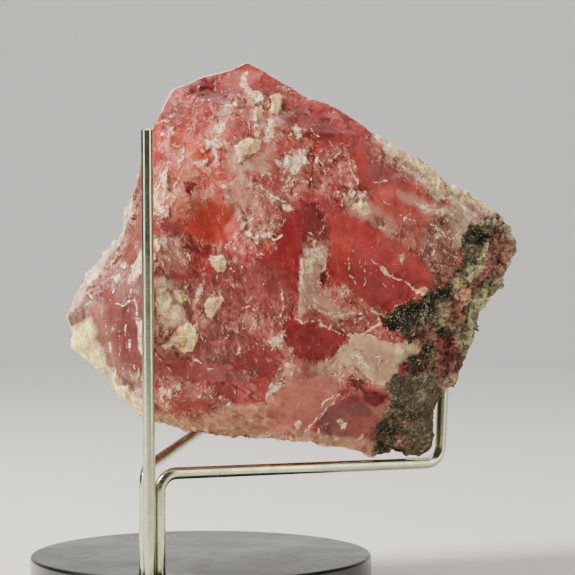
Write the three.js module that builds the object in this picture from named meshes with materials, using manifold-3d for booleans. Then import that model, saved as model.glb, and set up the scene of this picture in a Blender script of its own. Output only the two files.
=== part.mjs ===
// Fluorite specimen on a three-rod steel display stand.
// Units are millimetres, +Z is up and the stand's disc is centred on the origin, with its underside
// at Z 0. The stone's best face looks along -Y.
import * as THREE from 'three';
import { ImprovedNoise } from 'three/addons/math/ImprovedNoise.js';
import { ConvexHull } from 'three/addons/math/ConvexHull.js';
import { TessellateModifier } from 'three/addons/modifiers/TessellateModifier.js';
import { mergeVertices } from 'three/addons/utils/BufferGeometryUtils.js';
import Module from 'manifold-3d';

// ---------------------------------------------------------------- driving dimensions

const ROD_DIAMETER = 3;
const ROD_RADIUS = ROD_DIAMETER / 2;
const ROD_SIDES = 12;
const BEND_RADIUS = 4.5; // of the arms' centre lines
const BEND_STEPS = 7;
const TIP_BEVEL = 0.4; // round the cut ends of the rods
const CLEARANCE = 0.3; // of the rods in their sockets

const DISC_RADIUS = 45;
const DISC_HEIGHT = 8;
const DISC_BEVEL = 0.8; // round the disc's two rims
const DISC_SIDES = 72;
const SOCKET_FLOOR = 2; // what is left of the disc below the rods' sockets
const SOCKET_SIDES = 32;

// The front post, in plan, and how far its top stands to the left of its foot.
const POST_X = -10.8;
const POST_Y = -39;
const POST_LEAN = 0.7;
const POST_TOP = 117;

// The two rear rods stand side by side behind the post, and each is bent into an arm with a hook.
// bearing turns from +X towards +Y and rise is the arm's slope, in degrees. The hook's top leans
// away from the stone by lean degrees.
const REAR_X = -10.4;
const REAR_Y = -35.95;
const REAR_SPREAD = 1.75; // of each rear rod from the middle of the pair
const RIGHT_ARM = { side: 1, height: 32.5, bearing: 30, rise: -0.8, reach: 83.5, top: 55, lean: 3 };
const LEFT_ARM = { side: -1, height: 33.7, bearing: 78, rise: 5.7, reach: 62, top: 56, lean: 0 };

// The stone is laid out as it is seen from this point in front of it.
const EYE = new THREE.Vector3(22.8, -489, 78.3);

const BREAK_REACH = 300; // size of the blocks that stand for what has split off
const FACET_EDGE = 6; // longest edge of the stone's small facets
const FACET_PASSES = 14; // at most, of halving the long edges
const NEEDLE_WIDTH = 0.4; // edges shorter than this are closed up before the stone is broken up
const SMALLEST_STEP = 1 / 1024; // of the stone's corners before it is broken up
const SAME_POINT = 1e-4; // corners closer than this are one

// The stone splits along the planes of an octahedron. Named here is the side that each face looks to.
const SPLITS = {
  back: new THREE.Vector3(-0.41, 0.91, -0.05),
  crest: new THREE.Vector3(0.35, 0.58, 0.74),
  left: new THREE.Vector3(-0.995, -0.06, 0.09),
  right: new THREE.Vector3(0.995, 0.06, -0.09),
};

// The small facets' corners are pushed about by noise of these sizes. Each size has a strength, and
// three shifts that keep the pushes along X, Y and Z apart.
const WAVES = [
  { size: 9, strength: 1.6, shifts: [3.1, 17.7, 41.3] },
  { size: 3.7, strength: 1.28, shifts: [11.3, 29.9, 53.1] },
];
const PUSH = { crystal: 0.12, held: 0.14, matrix: 0.4, behind: 0.22 }; // share of a wave, see pushShare
const MATRIX_START = 50; // X at which the matrix begins, at MATRIX_LEVEL high
const MATRIX_END = 62; // X at which all is matrix, at MATRIX_LEVEL high
const MATRIX_LEVEL = 60;
const MATRIX_SLANT = 0.25; // how far its edge leans to the right as it rises
const LUMP_SHAPE = [1.15, 0.9, 1]; // of a lump of matrix, along X, Y and Z

// ---------------------------------------------------------------- the stone's corner points

// Its outline as seen from the front, from the peak and round to the right: [x, y, z].
const OUTLINE = [
  // crest
  [12.5, -12, 136.5], [17, -12, 134.2], [22, -12, 131.2], [28.5, -13, 127.2], [34, -13, 125.5],
  [44.5, -12, 118.7], [55, -10.5, 112.6], [62, -9, 107.4], [70, -6, 102.7], [78, -3.5, 98.6],
  [80, -3, 97],
  // matrix end
  [81.8, -2, 93.5], [82, -2, 90.5], [83.3, -1, 87.4], [81.3, 0, 81.7], [79.7, 0.5, 78.4],
  [77, 1, 75], [73.8, 2, 70.4], [73.5, 2, 67], [72.4, 2, 64.3], [70, 1, 60.5], [67.8, 0, 55.2],
  [67.8, 0, 52.5], [66.2, -1, 50.5], [64.3, -1, 50.7], [61.4, -1, 46.3], [61.5, -1, 37],
  // underside
  [60.6, -1, 35.2], [59, -1, 34.3], [57.5, -1, 33.4], [50, -3, 35], [45, -5.5, 33.7],
  [37.5, -11, 36.7], [31.5, -17, 37.6], [27, -18, 39.4], [21, -20, 40], [11, -22, 40.3],
  [2, -23, 41.2], [-2.5, -24, 42.1], [-8, -26, 44],
  // crust at the lower left
  [-12.5, -27, 45.4], [-17.3, -25, 49.5], [-21.3, -23, 52], [-23.3, -22, 55], [-26, -21, 57.8],
  [-29.5, -19, 61], [-32, -18.5, 63], [-32.3, -18, 65], [-31.6, -18, 66.2], [-32.3, -17.5, 67.5],
  [-33.5, -17, 71],
  // left rim
  [-31.6, -16, 77.7], [-29, -16, 82], [-26.3, -17, 84.7], [-22.6, -18, 87.9], [-20.2, -19, 91],
  [-19.2, -19.5, 93], [-18.4, -20, 98.5], [-17.3, -20, 101], [-15.4, -20, 104], [-14.8, -20, 109],
  [-11.5, -20, 119], [-9.2, -18, 124.3], [-6.5, -16, 129.3], [-3, -15, 130.7], [0.5, -14, 132.7],
  [8, -13, 134.3],
];

// Corner points of the facets on the front.
const FRONT = [
  // bevel behind the left rim
  [-17.5, -24, 84.5], [-23.5, -22, 79], [-28, -21.5, 72],
  // upper edge of the crust at the lower left
  [-27, -22, 65], [-23, -25, 58.5], [-17, -28.5, 53], [-11, -32, 48.5],
  // the ridge that leans on the post
  [-11.5, -31, 96.5], [-10, -35.5, 87.5], [-10.3, -37.25, 75], [-10.3, -37, 63],
  // upper left faces, with a hollow under the top edge
  [-6.5, -25, 118], [-0.5, -20, 126], [3.5, -16.5, 128.5], [9.5, -22, 124.5], [-7.5, -30.5, 107.5],
  [1, -29, 112.5], [11, -28, 115], [-8, -34, 96], [1, -33.5, 101], [12, -32, 105],
  // the deep notch
  [2.5, -33, 97], [11, -33, 98.5], [10.5, -35, 88], [-3.5, -35.5, 88.5], [5, -32.5, 90.5],
  // frosted faces at the centre of the top
  [16.5, -22, 121], [26, -22, 118], [16.5, -29, 109], [26, -26.5, 109], [16.5, -33, 100],
  [26, -31, 99],
  // riser between the left and the right cleavage planes, and the lip that it turns into
  [26.5, -32.5, 92], [26.5, -33.5, 81.5], [27, -34, 71], [32, -27.5, 93], [31.5, -28, 82.5],
  [31.5, -28, 73.5], [38, -26.5, 70], [36.5, -30.5, 66.5], [46, -22.5, 72], [46, -26, 69],
  // right cleavage plane
  [31, -28.5, 100], [41, -25, 98.5], [48.5, -21.5, 94], [38.5, -26, 84], [51.5, -19, 83],
  [59.5, -15, 78],
  // bevel below the crest
  [26, -17.5, 123], [39, -17.5, 117.5], [48, -16, 111], [55, -14, 106.5], [62, -12, 101.5],
  [70.5, -9.5, 98], [77, -6.5, 95],
  // front edge of the matrix end
  [66, -11.5, 92], [72.5, -8, 85], [76.5, -5.5, 90], [68.5, -8, 77], [65.5, -8.5, 71],
  [64, -9, 63.5], [62, -8.5, 54.5],
  // blocks at the lower right
  [52.5, -20, 63], [58, -14, 64.5], [54, -18, 56], [51, -18, 51.5], [58.5, -10.5, 53],
  [52, -12, 45.5], [59, -5, 42],
  // pale facet under the lip, and the recess below it
  [41.5, -26.5, 66.5], [37, -28, 59], [35.5, -29, 61], [44, -23, 55], [38.5, -25, 53],
  [47.5, -17.5, 49], [41.5, -13.5, 43], [50, -8, 40.5],
  // lower facets that turn under
  [26, -33, 57.5], [22, -32.5, 55], [18, -29.5, 48], [33.5, -26, 50], [30.5, -22, 43.5],
  [-7.5, -32, 48.5], [5, -31, 47.5],
  // middle of the left face
  [1.5, -36.5, 82.5], [12.5, -35.5, 84.5], [19, -34.5, 89], [0, -36.5, 69], [10, -36, 69],
  [18.5, -35, 71.5], [3.5, -35.5, 57.5], [13.5, -35, 58], [22, -34.5, 64], [-3.5, -35, 54.5],
];

// Corner points of the facets on the back.
const BACK = [
  // edge of the narrow faces behind the left rim
  [-31, -8, 72], [-27.5, -7, 80], [-21, -8, 88.5], [-17, -9.5, 97], [-13.5, -10, 107], [-10, -9, 117],
  [-5, -7, 127], [5, -4, 131.5], [-30, -9.5, 63.5], [-24.5, -10, 56.5], [-17, -10, 50.5], [-9, -11, 45.5],
  // edges of the faces next to the outline
  [10, 6, 128], [27, 8, 121], [45, 8, 111], [60, 8, 102], [74, 6, 94.5], [77, 9, 86], [72, 11, 76],
  [68, 10, 66], [62, 4.8, 50], [56, 3.2, 38], [40, 6, 37], [20, 14, 39.5], [0, 20, 41],
  [-11, 15, 47], [-20, 8, 56], [-27, 2, 68], [-22, 4, 80], [-15, 6, 92], [-11, 6, 104],
  [-7, 4, 116], [0, 4, 124],
  // edges of the broad back
  [8, 20, 112], [26, 22, 106], [44, 19, 97], [60, 16, 88], [64, 16, 74], [58, 14, 62],
  [50, 10, 48], [26, 21, 50], [0, 22.3, 56], [-10, 20, 62], [-12, 20, 80], [-4, 20, 98],
  [10, 27, 84], [30, 27, 78], [46, 22, 74], [8, 26, 68],
];

// Pieces that have split off: each leaves one to three cleavage faces that meet in a corner.
const BREAKS = [
  { corner: [30, 9, 112.6], faces: ['crest'] },
  { corner: [26, 15, 105], faces: ['crest', 'back'] },
  { corner: [10, 24, 78], faces: ['back'] },
  { corner: [-14, 4, 84], faces: ['left', 'back'] },
  { corner: [24, 20, 88], faces: ['back', 'crest', 'right'] },
  { corner: [2, 19, 70], faces: ['back', 'left', 'crest'] },
  { corner: [54, 8, 78], faces: ['right', 'back', 'crest'] },
];

// Lumps of matrix that swell out of the right-hand end: [x, y, z, radius].
const LUMPS = [
  [48.5, -17, 70, 7], [55.5, -12.5, 73.5, 7], [61, -8.5, 78, 6.5], [72, -1.5, 89, 7], [70, -1.5, 79, 6.5],
  [65.5, -2, 67.5, 6.5], [60, -2, 56.5, 6], [50.5, -11, 52, 6.5], [54.5, -2, 42.5, 5.5],
  [70.5, 4, 85, 8], [66, 4.5, 70, 7.5], [56.5, 0.5, 53, 6.5],
];

// ---------------------------------------------------------------- solids and booleans

const wasm = await Module();
wasm.setup();

/** Drops everything but the corner positions and merges the corners that coincide. */
function welded(geometry) {
  const bare = geometry.clone();
  for (const name of Object.keys(bare.attributes)) {
    if (name !== 'position') bare.deleteAttribute(name);
  }
  return mergeVertices(bare, SAME_POINT);
}

/** A closed geometry as a solid that can be joined and cut. */
function solidOf(geometry) {
  const closed = welded(geometry);
  return new wasm.Manifold(new wasm.Mesh({
    numProp: 3,
    vertProperties: new Float32Array(closed.attributes.position.array),
    triVerts: new Uint32Array(closed.index.array),
  }));
}

/** A solid as a geometry again. */
function geometryOf(solid) {
  const mesh = solid.getMesh();
  const geometry = new THREE.BufferGeometry();
  geometry.setAttribute('position', new THREE.BufferAttribute(new Float32Array(mesh.vertProperties), 3));
  geometry.setIndex(new THREE.BufferAttribute(new Uint32Array(mesh.triVerts), 1));
  return geometry;
}

// ---------------------------------------------------------------- the stone

/** Where a point appears from EYE, as horizontal and vertical slopes. */
function seenFromEye([x, y, z]) {
  const depth = y - EYE.y;
  return new THREE.Vector2((x - EYE.x) / depth, (z - EYE.z) / depth);
}

/** Whether a point of the view lies inside a loop of the view. */
function insideLoop(point, loop) {
  let inside = false;
  loop.forEach((a, i) => {
    const b = loop[(i + 1) % loop.length];
    const spans = (a.y > point.y) !== (b.y > point.y);
    if (spans && point.x < a.x + ((point.y - a.y) / (b.y - a.y)) * (b.x - a.x)) inside = !inside;
  });
  return inside;
}

/** Spans points of the view with the triangles that are as even as can be, each anticlockwise. */
function evenTriangles(view) {
  // Lifted onto a paraboloid, such triangles are the underside of the points' convex hull.
  const lifted = view.map((p, i) => Object.assign(new THREE.Vector3(p.x, p.y, p.lengthSq()), { i }));
  const triangles = [];
  for (const face of new ConvexHull().setFromPoints(lifted).faces) {
    if (face.normal.z > 0) continue;
    const ring = [];
    let edge = face.edge;
    do {
      ring.push(edge.head().point.i);
      edge = edge.next;
    } while (edge !== face.edge);
    for (let k = 1; k < ring.length - 1; k += 1) triangles.push([ring[0], ring[k + 1], ring[k]]);
  }
  return triangles;
}

/** One side of the stone: triangles over the outline's points and the points inside it. */
function sideTriangles(inner) {
  const points = [...OUTLINE, ...inner];
  const view = points.map(seenFromEye);
  const loop = view.slice(0, OUTLINE.length);
  const kept = evenTriangles(view).filter((triangle) => {
    const middle = new THREE.Vector2();
    triangle.forEach((i) => middle.addScaledVector(view[i], 1 / 3));
    return insideLoop(middle, loop);
  });
  return kept.map((triangle) => triangle.map((i) => points[i]));
}

/** The stone's large facets as one closed polyhedron. */
function roughStone() {
  const front = sideTriangles(FRONT);
  const back = sideTriangles(BACK).map(([a, b, c]) => [a, c, b]);
  const positions = new Float32Array([...front, ...back].flat(2));
  const geometry = new THREE.BufferGeometry();
  geometry.setAttribute('position', new THREE.BufferAttribute(positions, 3));
  return geometry;
}

/** All that lies beyond a cleavage plane through a point. */
function beyond(face, corner) {
  const turn = new THREE.Quaternion();
  turn.setFromUnitVectors(new THREE.Vector3(0, 0, 1), SPLITS[face].clone().normalize());
  const block = new THREE.BoxGeometry(BREAK_REACH, BREAK_REACH, BREAK_REACH);
  block.translate(0, 0, BREAK_REACH / 2).applyQuaternion(turn);
  return solidOf(block.translate(...corner));
}

/** What a break takes away. */
function brokenPiece({ corner, faces }) {
  return faces.map((face) => beyond(face, corner)).reduce((piece, side) => piece.intersect(side));
}

/** A lump: a squashed pebble with small facets, each turned its own way. */
function lump([x, y, z, radius], index) {
  const pebble = new THREE.IcosahedronGeometry(radius, 1).scale(...LUMP_SHAPE);
  return solidOf(pebble.rotateY(index).rotateZ(index * 2).translate(x, y, z));
}

/** Draws the ends of the shortest edges together, which leaves no needles for the small facets. */
function withoutNeedles(geometry) {
  const { position } = geometry.attributes;
  const corners = Array.from({ length: position.count }, (_, i) => {
    const corner = new THREE.Vector3().fromBufferAttribute(position, i);
    // Whole steps, so that an edge has one middle from whichever end it is halved.
    return corner.divideScalar(SMALLEST_STEP).round().multiplyScalar(SMALLEST_STEP);
  });
  const stand = corners.map((_, i) => i);
  const standIn = (i) => (stand[i] === i ? i : standIn(stand[i]));
  const triangles = [];
  for (let t = 0; t < geometry.index.count; t += 3) {
    triangles.push([0, 1, 2].map((k) => geometry.index.getX(t + k)));
  }
  for (const [a, b, c] of triangles) {
    for (const [from, to] of [[a, b], [b, c], [c, a]]) {
      if (corners[from].distanceTo(corners[to]) < NEEDLE_WIDTH) stand[standIn(from)] = standIn(to);
    }
  }
  const whole = triangles.map((triangle) => triangle.map(standIn)).filter((t) => new Set(t).size === 3);
  const drawn = new THREE.BufferGeometry().setFromPoints(corners);
  drawn.setIndex(whole.flat());
  return drawn;
}

/** How much of a wave pushes a corner: little near the rods below, more on the matrix and behind. */
function pushShare({ x, y, z }) {
  const across = x - MATRIX_SLANT * (z - MATRIX_LEVEL);
  const matrix = THREE.MathUtils.smoothstep(across, MATRIX_START, MATRIX_END);
  const behind = THREE.MathUtils.smoothstep(y, -10, 8);
  const held = THREE.MathUtils.smoothstep(z, 40, 50);
  return PUSH.crystal + held * (PUSH.held + PUSH.matrix * matrix + PUSH.behind * behind);
}

/** Pushes each corner about by noise of two sizes. */
function roughen(geometry) {
  const noise = new ImprovedNoise();
  const { position } = geometry.attributes;
  const point = new THREE.Vector3();
  for (let i = 0; i < position.count; i += 1) {
    point.fromBufferAttribute(position, i);
    const move = new THREE.Vector3();
    for (const { size, strength, shifts } of WAVES) {
      const { x, y, z } = point.clone().divideScalar(size);
      const push = shifts.map((shift) => noise.noise(x + shift, y - shift, z + 2 * shift));
      move.addScaledVector(new THREE.Vector3(...push), strength);
    }
    point.addScaledVector(move, pushShare(point));
    position.setXYZ(i, point.x, point.y, point.z);
  }
  return geometry;
}

/** The stone: large facets with chips and lumps, broken up into small facets and roughened. */
function stoneGeometry() {
  let solid = solidOf(roughStone());
  BREAKS.forEach((row) => {
    solid = solid.subtract(brokenPiece(row));
  });
  LUMPS.forEach((row, index) => {
    solid = solid.add(lump(row, index));
  });
  const fine = new TessellateModifier(FACET_EDGE, FACET_PASSES).modify(withoutNeedles(geometryOf(solid)));
  return roughen(welded(fine));
}

// ---------------------------------------------------------------- the stand

/** The centre line of a wire that is straight between its corners and bent round at each of them. */
class BentWire extends THREE.Curve {
  constructor(corners) {
    super();
    // Each station is a point and the direction of the wire there.
    this.stations = [];
    corners.forEach((corner, i) => {
      const before = i > 0 ? corner.clone().sub(corners[i - 1]).normalize() : null;
      const after = i < corners.length - 1 ? corners[i + 1].clone().sub(corner).normalize() : null;
      if (before && after) this.addBend(corner, before, after);
      else this.stations.push({ point: corner, direction: before ?? after });
    });
    // The last step is a short one, for the bevel.
    const { point, direction } = this.stations.pop();
    this.stations.push({ point: point.clone().addScaledVector(direction, -TIP_BEVEL), direction });
    this.stations.push({ point, direction });
  }

  addBend(corner, before, after) {
    const turn = before.angleTo(after);
    const axis = before.clone().cross(after).normalize();
    const start = corner.clone().addScaledVector(before, -BEND_RADIUS * Math.tan(turn / 2));
    const centre = start.clone().addScaledVector(axis.clone().cross(before), BEND_RADIUS);
    for (let k = 0; k <= BEND_STEPS; k += 1) {
      const angle = (turn * k) / BEND_STEPS;
      const point = start.clone().sub(centre).applyAxisAngle(axis, angle).add(centre);
      this.stations.push({ point, direction: before.clone().applyAxisAngle(axis, angle) });
    }
  }

  get steps() {
    return this.stations.length - 1;
  }

  station(t) {
    return this.stations[Math.round(t * this.steps)];
  }

  getPoint(t) {
    return this.station(t).point.clone();
  }

  getTangent(t) {
    return this.station(t).direction.clone();
  }

  // The stations are the steps of the extrusion, so they aren't spread out evenly by length.
  getUtoTmapping(u) {
    return u;
  }
}

/** Draws the end of a rod in, so that the last step of its wire becomes a bevel. */
function bevelTip(rod, tip) {
  const { position } = rod.attributes;
  const offset = new THREE.Vector3();
  for (let i = 0; i < position.count; i += 1) {
    offset.fromBufferAttribute(position, i).sub(tip.point);
    if (Math.abs(offset.dot(tip.direction)) < TIP_BEVEL / 2) {
      offset.multiplyScalar(1 - TIP_BEVEL / ROD_RADIUS).add(tip.point);
      position.setXYZ(i, offset.x, offset.y, offset.z);
    }
  }
  return rod;
}

/** A steel rod through its corners, from its foot to its bevelled tip. */
function rodGeometry(corners) {
  const wire = new BentWire(corners);
  const section = new THREE.Shape().absarc(0, 0, ROD_RADIUS, 0, 2 * Math.PI);
  const rod = new THREE.ExtrudeGeometry(section, {
    steps: wire.steps,
    curveSegments: ROD_SIDES / 2,
    bevelEnabled: false,
    extrudePath: wire,
  });
  return bevelTip(welded(rod), wire.stations.at(-1));
}

/** Corners of the straight front post. */
function postCorners() {
  return [
    new THREE.Vector3(POST_X, POST_Y, SOCKET_FLOOR + CLEARANCE),
    new THREE.Vector3(POST_X - POST_LEAN, POST_Y, POST_TOP),
  ];
}

/** Corners of a rear rod: up from the disc, along its arm and up again as the hook. */
function armCorners({ side, height, bearing, rise, reach, top, lean }) {
  const foot = new THREE.Vector3(REAR_X + side * REAR_SPREAD, REAR_Y, SOCKET_FLOOR + CLEARANCE);
  const elbow = foot.clone().setZ(height);
  const outward = new THREE.Vector3(1, 0, 0);
  outward.applyAxisAngle(new THREE.Vector3(0, 0, 1), THREE.MathUtils.degToRad(bearing));
  const heel = elbow.clone().addScaledVector(outward, reach);
  heel.z += reach * Math.tan(THREE.MathUtils.degToRad(rise));
  const spread = (top - heel.z) * Math.tan(THREE.MathUtils.degToRad(lean));
  const tip = heel.clone().addScaledVector(outward, spread);
  return [foot, elbow, heel, tip.setZ(top)];
}

/** The disc that the stand is built on, with the sockets of its three rods. */
function discGeometry() {
  const section = [
    new THREE.Vector2(0, 0),
    new THREE.Vector2(DISC_RADIUS - DISC_BEVEL, 0),
    new THREE.Vector2(DISC_RADIUS, DISC_BEVEL),
    new THREE.Vector2(DISC_RADIUS, DISC_HEIGHT - DISC_BEVEL),
    new THREE.Vector2(DISC_RADIUS - DISC_BEVEL, DISC_HEIGHT),
    new THREE.Vector2(0, DISC_HEIGHT),
  ];
  // A lathe turns about Y, so the disc is tipped up to turn about Z.
  let disc = solidOf(new THREE.LatheGeometry(section, DISC_SIDES).rotateX(Math.PI / 2));
  const sockets = [
    [POST_X, POST_Y], [REAR_X - REAR_SPREAD, REAR_Y], [REAR_X + REAR_SPREAD, REAR_Y],
  ];
  const depth = DISC_HEIGHT - SOCKET_FLOOR;
  for (const [x, y] of sockets) {
    const radius = ROD_RADIUS + CLEARANCE;
    const drill = new THREE.CylinderGeometry(radius, radius, 2 * depth, SOCKET_SIDES);
    disc = disc.subtract(solidOf(drill.rotateX(Math.PI / 2).translate(x, y, DISC_HEIGHT)));
  }
  return geometryOf(disc);
}

// ---------------------------------------------------------------- assembly

function material(color, roughness, metalness) {
  return new THREE.MeshStandardMaterial({ color, roughness, metalness });
}

function part(name, geometry, look) {
  const mesh = new THREE.Mesh(geometry, look);
  mesh.name = name;
  return mesh;
}

const steel = () => material(0xc9ccc0, 0.22, 1);

const specimen = new THREE.Group();
specimen.add(
  part('fluorite', stoneGeometry(), material(0xa8484a, 0.35, 0)),
  part('rest_post', rodGeometry(postCorners()), steel()),
  part('right_arm', rodGeometry(armCorners(RIGHT_ARM)), steel()),
  part('left_arm', rodGeometry(armCorners(LEFT_ARM)), steel()),
  part('base', discGeometry(), material(0x0b0b0c, 0.3, 0.1)),
);

export default specimen;
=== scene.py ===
import logging
import math
from collections.abc import Callable
from dataclasses import dataclass, field
from enum import Enum

import bmesh
import bpy
import numpy as np
from mathutils import Matrix, Vector


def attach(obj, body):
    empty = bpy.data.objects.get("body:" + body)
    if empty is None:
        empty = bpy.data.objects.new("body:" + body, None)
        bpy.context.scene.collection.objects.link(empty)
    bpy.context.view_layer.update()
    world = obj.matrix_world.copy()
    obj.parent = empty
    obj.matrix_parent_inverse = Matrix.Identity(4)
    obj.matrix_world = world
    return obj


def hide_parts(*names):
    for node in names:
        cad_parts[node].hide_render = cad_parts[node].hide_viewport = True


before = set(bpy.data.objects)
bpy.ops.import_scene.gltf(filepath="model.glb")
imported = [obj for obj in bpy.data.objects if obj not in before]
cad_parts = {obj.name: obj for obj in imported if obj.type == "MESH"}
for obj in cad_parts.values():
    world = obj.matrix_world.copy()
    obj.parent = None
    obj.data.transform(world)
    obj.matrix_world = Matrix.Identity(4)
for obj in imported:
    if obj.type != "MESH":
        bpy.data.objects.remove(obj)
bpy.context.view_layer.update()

MM = 0.001
LOG = logging.getLogger("specimen")

Colour = tuple[float, float, float, float]
Triple = tuple[float, float, float]
Outline = tuple[tuple[float, float], ...]
Rows = np.ndarray
Piece = bpy.types.Object
Material = bpy.types.Material
Node = bpy.types.Node
Socket = bpy.types.NodeSocket
Number = Socket | float
Tone = Socket | Colour


# ---- colours and maps

def srgb(red: int, green: int, blue: int) -> Colour:
    """Turns a screen colour into the linear colour that shaders use.

    Args:
        red, green, blue: the colour's channels, 0 to 255.

    Returns:
        The linear colour with full alpha.
    """
    channels = (c / 255 for c in (red, green, blue))
    linear = (c / 12.92 if c <= 0.04045 else ((c + 0.055) / 1.055) ** 2.4 for c in channels)
    return (*linear, 1.0)


def smooth(value: Rows, low: float, high: float) -> Rows:
    """Smooth step from 0 at low to 1 at high."""
    t = np.clip((value - low) / (high - low), 0, 1)
    return t * t * (3 - 2 * t)


@dataclass(frozen=True)
class Chart:
    """A flat map of the stone's best face, in millimetres, as it appears from one point in front."""

    eye: Triple = (22.8, -489.0, 78.3)
    sheet_y: float = -19.0

    def flatten(self, points: Rows) -> Rows:
        """Places points of the stone on the map.

        Args:
            points: rows of x, y, z in millimetres.

        Returns:
            Rows of map coordinates, across and up.
        """
        eye = np.array(self.eye)
        scale = (self.sheet_y - eye[1]) / (points[:, 1] - eye[1])
        across = eye[0] + (points[:, 0] - eye[0]) * scale
        up = eye[2] + (points[:, 2] - eye[2]) * scale
        return np.stack([across, up], axis=1)


@dataclass(frozen=True)
class Path:
    """An outline or line on the map."""

    points: Outline
    closed: bool = True

    def nearest(self, spots: Rows) -> tuple[Rows, Rows]:
        """Measures spots of the map against the path.

        Args:
            spots: rows of map coordinates.

        Returns:
            Distance to the path, negative inside an outline, and how far along its length the nearest
            point is, 0 to 1.
        """
        corners = np.array(self.points, float)
        ends = np.roll(corners, -1, axis=0) if self.closed else corners[1:]
        starts = corners if self.closed else corners[:-1]
        lengths = np.linalg.norm(ends - starts, axis=1)
        distance = np.full(len(spots), np.inf)
        along = np.zeros(len(spots))
        inside = np.zeros(len(spots), bool)
        run = 0.0
        for start, end, length in zip(starts, ends, lengths):
            step = end - start
            offset = spots - start
            t = np.clip(offset @ step / (length * length), 0, 1)
            gap = np.linalg.norm(offset - t[:, None] * step, axis=1)
            closer = gap < distance
            distance = np.where(closer, gap, distance)
            along = np.where(closer, (run + t * length) / lengths.sum(), along)
            if self.closed and start[1] != end[1]:
                spans = (start[1] > spots[:, 1]) != (end[1] > spots[:, 1])
                crossing = start[0] + (spots[:, 1] - start[1]) / step[1] * step[0]
                inside ^= spans & (spots[:, 0] < crossing)
        return np.where(inside, -distance, distance), along


class Layer(Enum):
    """The deposits and breaks on the fluorite."""

    FROST = "frost"  # white frosting
    HAZE = "haze"  # thin, broken frosting
    CLEAR = "clear"  # smooth windows of clear red
    CREAM = "cream"  # cream crust
    CHLORITE = "chlorite"  # green-black and grainy
    # the hollows' darkness is painted shade
    PIT = "pit"  # dark cracks, and hollows where chips have gone
    VEIN = "vein"  # white streaks


@dataclass(frozen=True)
class Mark:
    """One patch, or one streak if it has a half width."""

    layer: Layer
    points: Outline
    half_width: float = 0.0

    @property
    def path(self) -> Path:
        """The mark's outline or line."""
        return Path(self.points, closed=self.half_width == 0)


@dataclass(frozen=True)
class Tint:
    """An area of the best face whose body colour differs."""

    colour: Colour
    points: Outline
    feather: float = 1.2
    strength: float = 1.0


@dataclass(frozen=True)
class Glow:
    """A round cloud of colour in the back of the stone, in millimetres."""

    colour: Colour
    centre: Triple
    radius: float
    strength: float = 0.8


BODY_RED = srgb(170, 68, 68)
DEEP_RED = srgb(146, 40, 45)
WINE = srgb(118, 26, 31)
BRIGHT_RED = srgb(192, 68, 68)
# bright orange of the facet that catches the light: painted highlight
LIT_ORANGE = srgb(204, 86, 68)
PALE_ORANGE = srgb(188, 78, 64)
ROSE = srgb(168, 80, 76)
MAUVE = srgb(146, 79, 77)
GREY_MAUVE = srgb(114, 72, 68)
DUSTY_PINK = srgb(168, 106, 92)
SALMON = srgb(188, 112, 100)
# pale peach of the lower rim, with the light it catches from below painted in
PEACH_LIT_FROM_BELOW = srgb(208, 162, 128)
PALE_FACET = srgb(214, 178, 138)
WARM_CREAM = srgb(226, 208, 158)
OLIVE_GREY = srgb(104, 96, 76)
# cream of the rim crust, with painted rim light
RIM_CREAM_AND_LIGHT = srgb(244, 234, 198)

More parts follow.
